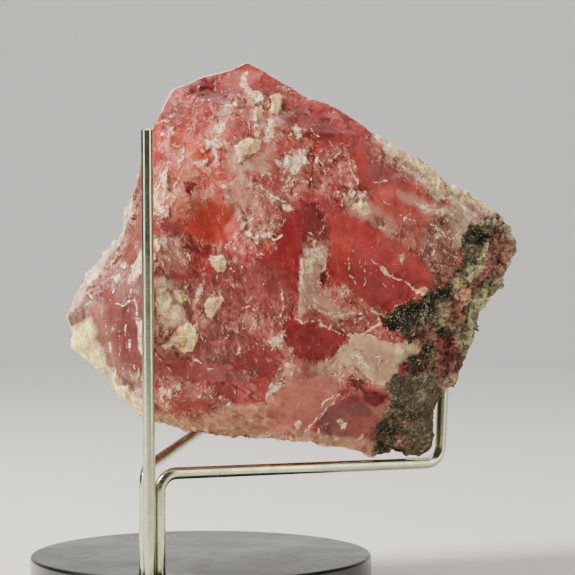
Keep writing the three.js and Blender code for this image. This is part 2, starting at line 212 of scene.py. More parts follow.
TINTS = (
    # the pale bands along the crest and the left rim: cream crust with painted rim light
    Tint(RIM_CREAM_AND_LIGHT, (
        (44.6, 117), (50.2, 114), (55.3, 112), (60, 109), (62.6, 105.8), (60.9, 103.2), (61.7, 100.1),
        (60.1, 101.1), (58.4, 104.4), (55.3, 107.7), (51.5, 110), (47.7, 112.8),
    ), 0.7),
    Tint(RIM_CREAM_AND_LIGHT, (
        (62.6, 106.6), (69.3, 102.8), (74.4, 100), (80, 97), (76, 95.6), (70.6, 98), (66.8, 99.3),
        (63.7, 100.6), (62.6, 103),
    ), 0.6, 0.85),
    Tint(GREY_MAUVE, (
        (56.6, 92), (60, 98), (66, 99.6), (70, 98.6), (68, 92), (66.4, 84), (66, 79.6), (60, 79), (57, 84),
    ), 1.6, 0.85),
    Tint(srgb(112, 62, 62), ((58, 98), (62, 97), (64, 92), (61, 90), (58.4, 93)), 1.4, 0.6),
    Tint(srgb(214, 184, 160), (
        (61, 99.4), (68, 99.8), (72, 98.4), (71, 95), (69, 92.4), (67, 88.6), (65, 89.6), (65.4, 93.6),
        (62.6, 96.6),
    ), 1.0, 0.85),
    # painted highlight where the crest catches the rim light
    Tint(srgb(252, 232, 208), ((56, 107), (61, 105.8), (62.8, 103), (60.4, 101.4), (57.4, 104)), 0.8, 0.9),
    # the left face, which the light rakes; its light and shade are painted into these tints
    Tint(srgb(122, 64, 62), (
        (-11, 106), (-11, 92), (-11, 44), (-24, 50), (-36, 62), (-36, 74), (-18, 104),
    ), 0.6),
    Tint(srgb(150, 108, 98), ((-23, 82), (-17, 84), (-15, 77), (-19, 76), (-22, 78)), 1.2, 0.4),
    Tint(srgb(112, 52, 54), ((-20, 74), (-15, 74), (-14, 58), (-19, 58), (-21, 66)), 1.6, 0.7),
    Tint(srgb(160, 108, 94), (
        (-28, 75), (-24, 74), (-22.6, 68), (-20.6, 61), (-17.6, 56), (-19, 55), (-23, 60), (-26, 67),
    ), 1.6, 0.7),
    Tint(srgb(146, 116, 104), ((-29, 78), (-33.5, 71.5), (-31, 68), (-28.6, 71), (-28, 75)), 1.0, 0.75),
    Tint(RIM_CREAM_AND_LIGHT, (
        (-16, 105), (-19, 103), (-21.4, 91.7), (-26.4, 85), (-30, 79), (-35, 74), (-34, 71), (-30.6, 74.3),
        (-28.8, 76.8), (-26.4, 80.6), (-24, 84.2), (-20.2, 89.1), (-18, 94.2),
    ), 0.4, 0.9),
    # orange upper left
    Tint(PALE_ORANGE, ((-11, 118), (-6, 124), (2, 125), (8, 116), (8, 104), (2, 100), (-8, 100)), 3.0, 0.75),
    Tint(ROSE, ((-9, 127), (2, 133), (9, 134), (9, 122), (0, 120), (-8, 121)), 2.5, 0.5),
    Tint(srgb(116, 38, 38), ((-1, 129), (4, 131), (10.6, 129.6), (11.6, 126), (6, 125), (0, 126)), 1.2, 0.7),
    Tint(srgb(150, 66, 58), ((-9.6, 123), (-6, 125.6), (-2, 126), (-3, 119.6), (-9, 118.6)), 1.2, 0.7),
    # the hollow under the peak, painted wine as its shade
    Tint(WINE, ((-4, 126.6), (-2, 129.4), (1, 131.6), (4.4, 130.8), (3, 128.8), (-0.6, 127.8)), 0.6),
    Tint(WINE, ((2.4, 130), (5, 129.4), (7.8, 127.2), (4.6, 128.2)), 0.4, 0.8),
    Tint(ROSE, ((6, 131), (11, 136), (15, 135), (12, 130), (10, 127), (8, 127.5)), 0.8, 0.8),
    Tint(BODY_RED, ((13, 133), (21, 131), (19, 128.6), (13.5, 129)), 0.7, 0.9),
    Tint(srgb(132, 48, 46), ((-11.4, 113), (-7, 112.6), (-6, 106), (-9, 103), (-11.4, 105)), 1.2, 0.6),
    # the facet that catches the light, painted bright orange as its highlight, and the notch under it
    Tint(MAUVE, ((-10, 97), (-4, 94), (-2, 91), (-4, 88), (-10, 90)), 1.2, 0.8),
    Tint(LIT_ORANGE, (
        (-4, 92.6), (-1, 97), (3, 100.4), (6.4, 100.4), (9.4, 98), (10.8, 94), (10, 91.4), (6, 88.6), (0, 90),
    ), 0.5),
    Tint(srgb(186, 64, 52), ((-2, 94), (3, 100.4), (6, 99), (4.6, 92), (1, 90)), 0.7, 0.7),
    Tint(srgb(170, 62, 52), ((5, 96), (9, 98), (10.8, 94), (8, 90.6), (5, 89.4)), 0.9, 0.6),
    Tint(WINE, ((-4, 89), (1, 88.8), (7, 88.8), (7, 87), (2, 86.8), (-3, 87.4)), 0.7, 0.45),
    Tint(srgb(236, 138, 114), (
        (-8, 102), (-4, 103.6), (1, 103.6), (4, 101.6), (1, 99.6), (-2.6, 96), (-7, 95.6),
    ), 1.2, 0.9),
    Tint(srgb(230, 142, 116), ((-7, 113), (-1, 112.6), (-0.6, 105.6), (-5, 103.6)), 1.4, 0.7),
    # a small hollow, painted wine as its shade
    Tint(WINE, ((-3.8, 105.2), (0, 104.4), (-2.1, 101.4)), 0.2, 0.95),
    # frosted middle of the top
    Tint(DUSTY_PINK, (
        (9, 126), (24, 124), (27, 114), (26, 103), (24, 97), (18, 92), (11, 93), (9, 104),
    ), 2.5, 0.6),
    Tint(srgb(222, 172, 146), (
        (8, 114), (12, 110.6), (17, 112.6), (18, 107.4), (11, 106), (7, 109),
    ), 1.2, 0.75),
    Tint(srgb(218, 162, 138), ((7, 105), (13, 104.4), (14.6, 99.4), (9, 98), (7, 101)), 1.4, 0.65),
    Tint(BODY_RED, ((9, 122), (14, 121), (14, 117), (8, 116.4)), 0.8, 0.8),
    Tint(DEEP_RED, (
        (12, 108), (15, 108.6), (17, 106), (21, 108), (21, 104), (19, 103), (16, 104), (12, 105.6),
    ), 0.8, 0.6),
    Tint(DEEP_RED, ((20, 116.5), (24, 117), (25, 112.6), (22, 111.6), (20, 113)), 0.8, 0.7),
    # upper slope under the crest
    Tint(BODY_RED, ((24, 128), (40, 119), (46, 114), (40, 104), (30, 106), (28, 116)), 2.0, 0.8),
    Tint(srgb(104, 26, 28), (
        (21, 125), (27, 125), (34, 121.4), (37, 117), (33, 115), (27, 115.6), (22, 118),
    ), 1.4, 0.75),
    Tint(srgb(186, 62, 54), ((39, 113), (42.6, 112), (43, 108), (40.6, 106.4)), 1.0, 0.9),
    Tint(MAUVE, ((42.6, 114), (52, 111), (57, 107), (54, 105), (44, 105.4)), 1.2, 0.8),
    Tint(srgb(214, 88, 82), ((45, 103), (56, 105), (60, 100), (59, 95), (50, 94), (44, 98)), 1.4, 0.85),
    Tint(srgb(236, 176, 156), (
        (50.6, 103), (55, 102.4), (60, 99.6), (63, 97.6), (61, 95.6), (56, 98.4), (52, 100.4),
    ), 0.8, 0.75),
    Tint(srgb(208, 116, 104), ((47, 95), (55, 96.6), (57.6, 93), (54, 89), (49, 89.6)), 1.4, 0.7),
    Tint(srgb(232, 176, 152), (
        (36.4, 102), (42, 101), (46, 98.6), (50.4, 95.6), (50, 91), (46, 92.4), (41.6, 94.6), (38, 98),
    ), 1.0, 0.6),
    # the deep corner left of the riser and the clear right cleavage plane
    Tint(DEEP_RED, (
        (18, 100), (26, 101.5), (31, 98), (33, 93), (27, 90), (26, 77), (21, 78), (14, 84), (20, 89),
    ), 1.2, 0.8),
    Tint(BRIGHT_RED, (
        (33, 97), (44, 95), (60, 82), (57, 76), (48, 71.5), (38, 71.5), (31, 79), (33, 90),
    ), 0.7),
    Tint(srgb(196, 78, 70), ((33.5, 95), (40, 96), (39, 84), (34, 84)), 2.2, 0.7),
    Tint(DEEP_RED, ((36, 84), (42, 85), (52, 84), (58, 80), (54, 75), (46, 72.6), (39, 75)), 2.0, 0.55),
    # the middle of the left part
    Tint(MAUVE, ((-10, 88), (0, 84), (20, 84), (25, 76), (22, 69), (8, 66), (-10, 60)), 2.0, 0.75),
    Tint(DEEP_RED, (
        (-8, 80), (2, 82), (2, 78), (-2, 74), (-3, 70), (-1, 68), (1, 73), (3, 78), (6, 82), (0, 86),
    ), 0.8, 0.5),
    Tint(MAUVE, ((0, 67), (16, 66), (18, 58), (12, 53), (-2, 56)), 1.5, 0.9),
    Tint(srgb(236, 208, 176), ((-11, 81), (-7, 80), (-3, 76.4), (-2, 70), (-4, 68.6), (-11, 67.6)), 1.2, 0.7),
    Tint(ROSE, ((-10, 60), (-4, 59), (4, 53), (6, 48), (-10, 46)), 1.5, 0.8),
    Tint(SALMON, ((4, 72), (14, 71), (16, 67), (6, 68)), 1.2, 0.5),
    Tint(DUSTY_PINK, ((-11, 63), (-2, 62.4), (0, 60), (-9, 58.6)), 0.8, 0.6),
    Tint(srgb(130, 50, 50), ((7, 63), (14, 62), (15, 57), (8, 56.4)), 1.2, 0.7),
    Tint(srgb(206, 162, 146), ((-10, 91), (-5, 91), (-4, 85), (-9, 85)), 1.2, 0.5),
    Tint(DEEP_RED, ((12, 64), (17, 64), (19, 57), (17, 49), (12, 50), (14, 57)), 1.0, 0.6),
    # the worn step beside the deep corner, with its foot
    Tint(srgb(236, 194, 166), (
        (25.8, 71.1), (25.8, 82.8), (26.9, 87.5), (28.9, 88.8), (33.3, 89.3), (33.3, 87.5), (32.7, 85),
        (30.7, 79.5), (30.4, 75), (29.3, 73.3),
    ), 0.3, 0.9),
    Tint(srgb(226, 172, 146), (
        (29.3, 73.3), (30.4, 75.5), (31.5, 78.5), (34, 77), (34.4, 74), (38.7, 72.4), (41.5, 72.4),
        (38, 70.4), (35.8, 69.7), (32.5, 70.8),
    ), 0.4, 0.8),
    # under the lip
    Tint(DEEP_RED, (
        (22, 70), (28, 69.6), (34, 67.6), (39, 66.5), (34.6, 60.6), (29, 59), (24, 60.4), (21, 64),
    ), 0.5),
    Tint(srgb(172, 72, 68), (
        (36, 69.6), (46, 68.5), (51, 67), (53.6, 65), (50, 63.6), (46, 65), (41, 67.2),
    ), 0.5),
    # pale facet, and the salmon facets around it
    Tint(SALMON, (
        (17.6, 50), (20, 57.4), (24, 61), (29, 59), (36, 60.4), (40, 57.4), (38, 54.6), (35, 49.4),
        (30.6, 44), (27, 39.4), (16, 41),
    ), 0.6),
    Tint(PALE_FACET, (
        (34, 60.4), (40.8, 66.8), (46, 65), (50, 63.6), (51.4, 58), (50, 55.4), (47.4, 53), (44, 55),
        (40, 58),
    ), 0.25),
    Tint(WARM_CREAM, ((50, 63.6), (53.6, 64.8), (57, 62.6), (56, 60), (51, 58.6)), 0.3),
    Tint(srgb(206, 168, 142), (
        (39.2, 61.5), (43.4, 61.5), (47.2, 59.8), (45.6, 55.4), (38.7, 59.4),
    ), 0.3, 0.8),
    Tint(PALE_FACET, ((28.6, 58.4), (35, 60.4), (40, 58), (36, 57), (31, 56)), 0.8, 0.7),
    # blocks at the lower right
    Tint(MAUVE, (
        (31, 45), (36, 50.6), (45, 52), (50, 49), (46.4, 44), (45, 38), (42, 35.6), (34, 37), (30.6, 41),
    ), 0.4),
    Tint(GREY_MAUVE, ((32, 45), (36, 49), (44, 50), (43, 44), (36, 43)), 1.5, 0.6),
    Tint(srgb(164, 90, 80), ((38, 46), (42.6, 46.6), (44.6, 42), (43.6, 39.6), (38.4, 40)), 1.0, 0.8),
    Tint(srgb(158, 106, 90), ((43, 48.6), (46.4, 50), (49.6, 48.4), (48, 45.6), (44.6, 46)), 0.8, 0.8),
    Tint(srgb(126, 40, 38), ((35, 49.6), (38, 53), (41, 51.4), (41.6, 49.4), (37, 48)), 0.6, 0.8),
    # two hollows, painted wine as their shade
    Tint(WINE, ((38, 54.8), (41.8, 54.8), (42.4, 51.6), (39.6, 52.4)), 0.25),
    Tint(WINE, ((41.6, 52.8), (45, 52.2), (48.6, 50.6), (45.4, 47.4), (42.2, 49.2)), 0.25),
    Tint(DEEP_RED, ((35.8, 51.8), (39.2, 51.8), (38.6, 48.8), (36.2, 49.8)), 0.3),
    Tint(srgb(196, 158, 126), (
        (37.5, 57.4), (41, 56.8), (45, 54.4), (48.6, 52.4), (51.2, 50.2), (53.8, 47.8), (52.8, 45.8),
        (50.4, 49), (48, 51.4), (43.4, 54.2), (39.6, 55.8),
    ), 0.35, 0.9),
    Tint(srgb(214, 172, 146), ((-17, 56), (-14.4, 57), (-13, 50), (-16, 51)), 0.8, 0.7),
    # lower rim, which faces down: painted paler for the light it catches from below
    Tint(PEACH_LIT_FROM_BELOW, (
        (-12, 47.4), (-5, 45.4), (0, 44.6), (6, 48.4), (18, 48.6), (17.4, 41.4), (26, 40), (31, 38.6),
        (40, 37), (45, 35.6), (44, 32), (-14, 38),
    ), 0.7, 0.9),
    Tint(SALMON, ((0, 44.8), (7, 47.4), (16, 47), (16, 43), (6, 42.6)), 1.5, 0.5),
    Tint(PEACH_LIT_FROM_BELOW, (
        (24, 42.4), (30, 41.2), (35, 40.4), (40.4, 39.8), (46, 38.8), (46, 33), (24, 34),
    ), 0.6, 0.85),
    # cream crust at the lower left
    Tint(WARM_CREAM, (
        (-33, 68), (-27.5, 70.5), (-26.3, 68), (-26, 64.9), (-24.2, 62.4), (-23.6, 59.1), (-20.8, 56),
        (-20, 53.4), (-17.4, 53.2), (-16.4, 50.6), (-13, 49), (-11, 44), (-22, 46), (-36, 58),
    ), 0.5),
    Tint(srgb(214, 164, 132), ((-30, 64), (-28, 66), (-26, 63), (-25, 59), (-27, 58), (-30, 60)), 1.2, 0.8),
    Tint(srgb(206, 158, 126), ((-21, 53), (-17, 51), (-14, 48), (-16, 46), (-21, 50)), 1.0, 0.7),
)

ROCK_TINTS = (
    Tint(srgb(70, 62, 46), (
        (47.5, 53.6), (50, 55.8), (57, 54.6), (61, 52), (61, 40), (58, 34), (46, 34), (45, 42), (50, 45),
        (50, 49),
    ), 0.8),
    Tint(srgb(84, 76, 58), (
        (51, 37), (52, 43.6), (50, 47), (54, 46.4), (60, 45), (60, 38), (56, 34),
    ), 1.0, 0.9),
    Tint(srgb(58, 53, 43), ((50, 55), (54, 55.4), (55.4, 52), (53, 50.6), (50, 52)), 1.2, 0.8),
    Tint(srgb(124, 126, 98), ((55.8, 52), (57.6, 52.4), (58.2, 50), (57, 48.6), (55.8, 49.6)), 0.6, 0.8),
    Tint(srgb(138, 112, 88), ((50.6, 46), (54, 45), (54.4, 42), (51.4, 42.6)), 0.6, 0.8),
    Tint(srgb(178, 118, 108), ((50, 38), (50.4, 41), (52, 41), (52, 37.6)), 0.5, 0.8),
    # a hollow, painted dark red as its shade
    Tint(srgb(86, 40, 38), (
        (51.2, 59), (53, 60.2), (57, 61.6), (58.8, 60), (58.6, 57.4), (55, 55.8), (53, 57),
    ), 0.4),
    Tint(srgb(134, 92, 80), ((55, 66), (57, 68.6), (60.4, 69), (60.4, 65), (57.4, 63.6)), 0.8, 0.9),
    Tint(srgb(136, 46, 50), ((60.6, 66), (64.6, 67), (66.4, 63), (66, 58), (62, 56.6), (60.4, 60)), 0.8, 0.9),
    Tint(srgb(126, 76, 70), ((60, 58), (66, 60), (68.6, 62), (66, 56), (62, 54)), 0.8, 0.8),
    Tint(srgb(172, 146, 116), ((62, 55), (66.4, 57), (67, 53), (65, 51.4), (62, 53)), 0.6, 0.9),
    Tint(srgb(160, 146, 108), (
        (60.6, 69), (61.8, 76), (64, 76.4), (64, 70.6), (63.4, 68.2), (61, 67.8),
    ), 0.6, 0.9),
    Tint(srgb(158, 96, 84), (
        (63.8, 75.6), (68.4, 75.4), (69, 74), (68.2, 69.6), (67, 67.4), (64.2, 67.4),
    ), 0.5),
    Tint(srgb(96, 92, 68), ((68.4, 75), (70, 77), (69.8, 73), (69, 69), (68, 68)), 0.5),
    Tint(srgb(174, 174, 128), (
        (77, 82.4), (79, 80.4), (77, 77.6), (75, 75), (72.6, 71), (72.6, 69), (71.6, 65), (69, 62.8),
        (66.4, 64.6), (68.6, 68), (69, 71), (69.6, 74), (71, 76.6), (73.4, 79.6), (75, 82),
    ), 0.6),
    Tint(srgb(156, 116, 98), (
        (77, 92), (80, 92), (80, 89), (81.6, 87), (80, 83), (78, 80.6), (76, 80), (74, 79), (73, 80),
        (75.4, 84), (76.8, 88),
    ), 0.5),
    Tint(srgb(150, 88, 80), (
        (75, 92), (77.4, 92), (76.8, 88), (75.6, 84), (74, 81), (71, 78), (69.8, 75.4), (69, 74), (69.6, 77),
        (72, 82), (73.6, 86), (74, 89),
    ), 0.4),
    Tint(srgb(206, 158, 124), (
        (65.4, 79), (69.6, 80.6), (72, 83), (73.8, 87.4), (73.2, 84), (70.4, 80), (69.8, 76.4), (67.6, 74.8),
        (65.4, 76),
    ), 0.35),
    Tint(srgb(206, 196, 146), (
        (74.8, 91), (72, 88.6), (70.8, 84.6), (69.6, 81), (65, 80.4), (65.6, 78), (69, 79.6), (71.4, 82.6),
        (73.2, 87),
    ), 0.4),
    Tint(srgb(78, 82, 62), (
        (67, 93), (74, 93), (74.4, 91), (73, 88.6), (71, 86), (70.8, 83), (69, 80.6), (66.6, 82.6),
        (67.6, 86), (67, 89),
    ), 0.6),
    Tint(srgb(196, 180, 146), ((67, 96), (70, 99.4), (78, 97.6), (80, 95), (77, 93.4), (70, 94.6)), 0.8),
    Tint(srgb(212, 198, 174), ((64.6, 93), (67.6, 94), (68, 89.6), (66.4, 88.4), (64.4, 90)), 0.8, 0.8),
    Tint(srgb(176, 156, 124), ((64.6, 69.6), (68, 70), (68.6, 65), (65.4, 64)), 0.9, 0.8),
    Tint(srgb(212, 204, 164), ((68.4, 83.4), (71.4, 85), (71.4, 80.6), (68.4, 79.6)), 0.7, 0.75),
    Tint(srgb(200, 194, 158), ((76.6, 95), (79, 97), (81, 94), (80.6, 90), (79, 91), (79, 94)), 0.6),
    Tint(srgb(196, 178, 150), ((79.4, 86), (81.6, 88), (82, 86), (80.4, 83), (79, 81), (78.8, 84)), 0.4),
)

GLOWS = (
    Glow(DEEP_RED, (26, 24, 74), 26),
    Glow(MAUVE, (-8, 16, 84), 22),
    Glow(BRIGHT_RED, (44, 14, 100), 20, 0.7),
    Glow(PALE_ORANGE, (6, 12, 116), 20, 0.7),
    Glow(SALMON, (18, 18, 50), 18, 0.8),
    Glow(DUSTY_PINK, (-24, 2, 66), 20, 0.8),
    Glow(WINE, (4, 24, 66), 12, 0.6),
)


def patches(layer: Layer, *outlines: Outline) -> list[Mark]:
    """One mark of a layer for each outline."""
    return [Mark(layer, points) for points in outlines]


def lines(layer: Layer, *rows: tuple[float, Outline]) -> list[Mark]:
    """One mark of a layer for each line, given with its half width. It thins towards both ends."""
    return [Mark(layer, points, half_width) for half_width, points in rows]


CRUSTS = patches(
    Layer.CREAM,
    ((9.2, 114.2), (11.5, 115.6), (12.6, 116.4), (16, 115.8), (15.6, 113.6), (13.2, 111.8), (10.6, 110.2)),
    ((3.2, 86.3), (6.6, 86.3), (7.2, 84.8), (7.0, 82.3), (4.8, 82.3), (3.6, 83.8)),
    ((1.4, 74), (3.0, 75.6), (6.2, 76.0), (6.6, 75.0), (5.2, 73.2), (3.4, 70.2), (2.2, 71)),
    ((-10.8, 78.6), (-9.4, 78), (-8, 77.2), (-6.4, 75.2), (-7, 74), (-4.4, 73.6), (-4, 71.5), (-5.6, 70),
     (-8.6, 70.6), (-10.8, 72.4)),
    ((-6.2, 77.8), (-4.4, 77.6), (-2.8, 76), (-3, 73.6), (-4.6, 74.4), (-6, 75.4)),
    ((-6.6, 66.6), (-4.6, 68.6), (-2.2, 69.4), (-0.6, 67.6), (-0.2, 65), (-1.4, 62), (-4.2, 61.8),
     (-6.2, 63.4), (-8.6, 62.6), (-9.6, 63.6), (-7.4, 65)),
    ((18.4, 127), (20.4, 127.8), (21.6, 126.8), (21.2, 124), (20, 122.2), (18.6, 122.8)),
    ((55.6, 77.8), (58, 78.4), (59.6, 76.6), (57.4, 76), (55.8, 76.8)),
    ((27.2, 87), (28.6, 85.6), (29.2, 82.6), (27.8, 82)),
    ((46, 116.6), (50.2, 114.2), (55.3, 112.2), (60, 109.2), (62.6, 106), (61.6, 102.4), (60.4, 103.8),
     (58, 107), (54, 109.8), (50, 112.4)),
    ((64.2, 105.4), (69.3, 102.9), (74.4, 100.2), (78, 98), (76, 97), (72, 98.8), (67.6, 101), (65, 102.4)),
    ((39.2, 99.4), (40.8, 100.6), (43, 99.6), (44.2, 97.4), (42, 96.6), (40, 97.6)),
    ((-22, 55), (-21, 57.4), (-20.4, 55.4), (-20.6, 53.4), (-17.6, 53.2), (-17.4, 50.8), (-14, 48.8),
     (-13, 45), (-22, 48)),
    ((-33, 67), (-30.4, 67.4), (-29.6, 68), (-27.5, 70.4), (-26.4, 68), (-26.6, 64.6), (-25, 62),
     (-24.6, 59.2), (-23.4, 57), (-26, 55), (-34, 60)),
)
FROSTING = patches(
    Layer.FROST,
    ((37, 101.4), (38.6, 103), (40.6, 101.6), (40, 99.6), (38.4, 99.6)),
    ((12.2, 133.8), (11, 132.4), (10.4, 130.4), (11.6, 128.2), (12.8, 126.6), (15.2, 125), (16.4, 123),
     (17, 126.6), (16, 128.2), (14.2, 128.8), (12.8, 130), (12.2, 131.8), (13, 133.2)),
    ((4.2, 120), (5.8, 120.8), (6.8, 120), (6.8, 118.4), (5.6, 116.6), (4.8, 116.4), (3.6, 115.4),
     (4.2, 117.6), (3.6, 118.6)),
    ((1, 115.4), (3.4, 116), (4.6, 113.2), (4.4, 111.6), (3, 113.6)),
    ((-2.4, 110.7), (2.5, 110.8), (1.6, 109.8), (0.2, 109), (-0.8, 109.8)),
    ((-9.9, 118.2), (-8.4, 117.6), (-9.2, 116.2)),
    ((-10.2, 108.2), (-8.6, 107.2), (-7.8, 106.4), (-8.6, 104.8), (-9.8, 106.6)),
    ((-11.4, 103.6), (-9.8, 103), (-9.4, 99.6), (-7.6, 96.6), (-8.6, 96), (-11, 98.6)),
    ((-16, 70.6), (-13.8, 70), (-13.6, 60), (-15.4, 63), (-15.6, 66.6)),
    ((-18.4, 78.5), (-16.8, 84), (-15.4, 86.8), (-13.2, 89.8), (-12.4, 86), (-13.8, 82.4), (-15.4, 80.6)),
    ((-22.4, 81), (-20.2, 82.4), (-19.4, 80.4), (-21, 79.4)),
    ((14, 123.6), (15.2, 124.6), (15.4, 117), (15, 115.6), (14, 117.6)),
    ((17.6, 121), (20, 121.4), (19.6, 118), (18, 115.4), (16.4, 114.6), (17.2, 118)),
    ((19.4, 111.2), (22, 110.6), (24.8, 112.2), (25.2, 113.8), (27.4, 113.8), (28.2, 112.4), (27, 109.4),
     (25.6, 107.6), (24.2, 106.6), (23.4, 107.4), (23.2, 108.4), (22.2, 109), (20.2, 109.6)),
    ((24, 119.4), (25.2, 120.6), (26, 118), (26.8, 116.6), (25.4, 115.8), (24.4, 117.2)),
    ((11, 93.4), (13, 92.6), (15, 91.4), (18, 92.4), (20, 93.4), (18.6, 91), (15.4, 90.4), (12.6, 91.4)),
    ((21, 99.2), (23.4, 99.4), (24.8, 98), (23.4, 97.4), (21.6, 98)),
    ((45, 115.6), (50, 113.9), (55, 111.9), (58.8, 109), (61, 106.4), (60, 104), (60.8, 101.2), (62.8, 100.6),
     (64.6, 103.6), (64, 105.4), (62, 104.6), (60.4, 107.8), (57, 111), (50, 115), (45, 118)),
    ((52, 109.6), (56, 107.4), (58.6, 104), (60, 101.6), (58.4, 103), (55.6, 105.8), (52, 108)),
    ((64, 104.6), (68, 103.2), (72, 101), (76, 98.6), (79, 96.2), (77.4, 95), (73, 97.6), (69, 99.8),
     (65.6, 101.6)),
    ((54, 101.2), (57.6, 99.4), (60.4, 98.4), (63.4, 98), (62.4, 96.6), (59.6, 97), (57, 98.2)),
    ((64.6, 90.6), (65.6, 91.8), (66.4, 93.6), (67.8, 94), (68.4, 93), (68, 91.4), (66.6, 90.4)),
    ((60, 90.8), (61, 92.2), (62.2, 91.6), (61.6, 90.4)),
    ((70, 100.4), (74, 99.4), (77, 97.4), (74, 96.8), (71, 98)),
    ((50.4, 86.6), (52.2, 87.4), (52.8, 85.6), (51.8, 84), (51, 85.4)),
    ((46, 84), (47.4, 84.4), (48.4, 82), (50, 80.6), (48.4, 80.6), (46.6, 82.4)),
    ((36, 77.8), (37.6, 79.6), (37.8, 78), (37.2, 75.8), (36, 76)),
    ((26.9, 87.5), (28.9, 88.8), (33, 89), (32.4, 86.4), (30, 84.6), (28.8, 82), (27, 82.6)),
    ((29, 77), (30.4, 76), (31, 73.6), (34, 72.2), (38, 72), (35, 70.2), (32, 71), (29.6, 73)),
    ((17.4, 64.8), (20, 66.2), (22.2, 65), (20.6, 63), (18.4, 63)),
    ((20.6, 69.6), (22.2, 69.6), (21.4, 67.9)),
    ((17, 52), (18.6, 54.2), (21, 53.8), (22.4, 53.6), (20.4, 52.4), (18, 50.4)),
    ((22, 58.4), (24.2, 60), (25, 57.6), (24, 55.4), (22.4, 56.4)),
    ((23, 63), (24, 63.6), (24.6, 61.6), (23.4, 61)),
    ((35, 44.8), (36.8, 45.4), (37.8, 43.6), (37.4, 41.8), (36, 42.6)),
    ((40, 39.6), (43, 41.4), (41.4, 39.4)),
    ((24.2, 44.4), (25.6, 45), (26.4, 43.8), (25, 41.4), (24.4, 42.6)),
    ((6.4, 49), (7.8, 50), (8.4, 48.4), (7, 47.8)),
    ((38.8, 61.6), (41, 61.4), (43.6, 58.4), (46, 57), (42.6, 57.6), (39.8, 59)),
    ((-5.8, 90), (-5, 90), (-4.2, 86.6), (-4.4, 84), (-5.4, 86)),
    ((-11.2, 91.2), (-8.8, 90), (-9.6, 87.6), (-11.2, 87)),
    ((0, 79), (1.4, 80.4), (1.4, 77), (0.2, 74.8), (-1.4, 73.8), (-0.6, 76)),
    ((9.8, 64), (10.8, 63.8), (10.8, 61), (9.8, 60.4)),
    ((-20.2, 85), (-18.4, 85), (-17.6, 83.4), (-19.4, 82.8)),
    ((-25, 83), (-23.2, 82.6), (-23.6, 81.2), (-24.8, 81.4)),
    ((-22.6, 83.8), (-21, 84.2), (-21, 82.8)),
)
THIN_FROSTING = patches(
    Layer.HAZE,
    ((42, 94), (46, 92.8), (52, 88.6), (56, 85.4), (50, 86.4), (44, 90)),
    ((32.6, 110.8), (35, 112.2), (37, 114), (38.4, 111.4), (39.2, 108), (40.4, 104.6), (37.4, 107.6)),
    ((4, 121), (8, 126.6), (14, 127.4), (19, 127), (19, 122), (16, 114.6), (13.6, 115), (14, 123),
     (9, 122.6)),
    ((8, 106), (13, 106), (17, 104), (22, 101), (25.4, 99), (24.6, 96), (20, 95), (21, 92), (15, 89.6),
     (10.6, 92), (10, 95), (8.6, 99)),
    ((16.6, 122), (21, 122), (22, 118), (19.6, 113.4), (16, 112.4)),
    ((19, 111.4), (25, 113.6), (28.6, 114.6), (30, 110), (28, 104), (24, 100.6), (21.4, 102), (22.4, 108)),
    ((28, 110), (33, 113), (38, 115), (39.4, 110), (41.4, 105), (45, 98), (46, 95.6), (41, 95), (36, 100),
     (30, 103)),
    ((45, 98), (50, 95), (57, 90), (60.6, 85), (56, 85), (49, 89), (43, 94)),
    ((42, 118), (52, 113.6), (60, 108.6), (60, 102), (54, 105.4), (47, 109.6), (41, 113)),
    ((52, 102), (60, 100.4), (64.6, 99), (64, 95), (58, 96)),
    ((28, 76.4), (32, 78.6), (38, 79), (43, 75), (49, 72), (46, 69.2), (38, 68.6), (27, 68.6)),
    ((25.4, 71), (26.6, 89), (30, 91), (34.4, 90.4), (34, 85), (31.6, 79), (31.4, 72)),
    ((-12, 102), (-17, 99.6), (-19.6, 93), (-26, 85.6), (-31, 79), (-34, 73), (-28, 74), (-20, 80),
     (-13, 88)),
    ((-24, 82), (-18, 81), (-13.6, 76), (-13.6, 66), (-17, 70), (-22, 76)),
    ((-11.4, 96), (-8, 97), (-5, 103), (-7, 110), (-11.4, 109)),
    ((-12, 92), (-4, 91), (-2, 84), (-6, 79), (-11, 81)),
    ((-11, 80), (-4, 79.6), (0, 78), (2, 80.6), (4, 77), (6.6, 76.6), (4, 69.6), (0.6, 66), (-3, 61),
     (-11, 61.4)),
    ((6, 85), (8, 89.4), (10, 91.4), (16, 92), (19, 89), (14, 84.6), (9, 83)),
    ((5, 72.4), (16, 71.8), (21, 69.6), (19, 66.2), (8, 67.4)),
    ((-10, 56), (-2, 55), (4, 52), (7, 50.6), (2, 46), (-10, 46)),
    ((20.6, 56), (22, 62), (25.6, 64.6), (26, 56), (23, 54)),
    ((16.4, 64), (18, 67.4), (23, 67), (22, 62.4)),
    ((30, 60), (38, 61), (46, 57), (50, 54), (46, 52.4), (40, 55.6), (33, 56.4)),
    ((33, 70), (44, 70.6), (50, 67.6), (51, 65), (44, 66), (36, 67.4)),
    ((47, 103), (53, 103.4), (57, 100), (52, 97), (47, 98.6)),
    ((-9, 78.6), (-3, 79), (-1, 74), (-3, 67), (-10, 66)),
    ((2, 122), (8, 122), (8, 110), (2, 109)),
    ((2, 104), (9, 106), (10, 100), (4, 99)),
    ((57, 97), (62, 97), (68, 92), (67, 80), (58, 80), (57.4, 88)),
    ((60, 106), (72, 101), (78, 97), (76, 94), (64, 98)),
    ((-14, 48), (0, 43.6), (18, 42), (30, 39), (45, 35), (44, 31), (-16, 38)),
    ((11, 50), (17, 49), (18, 54), (12, 53)),
)
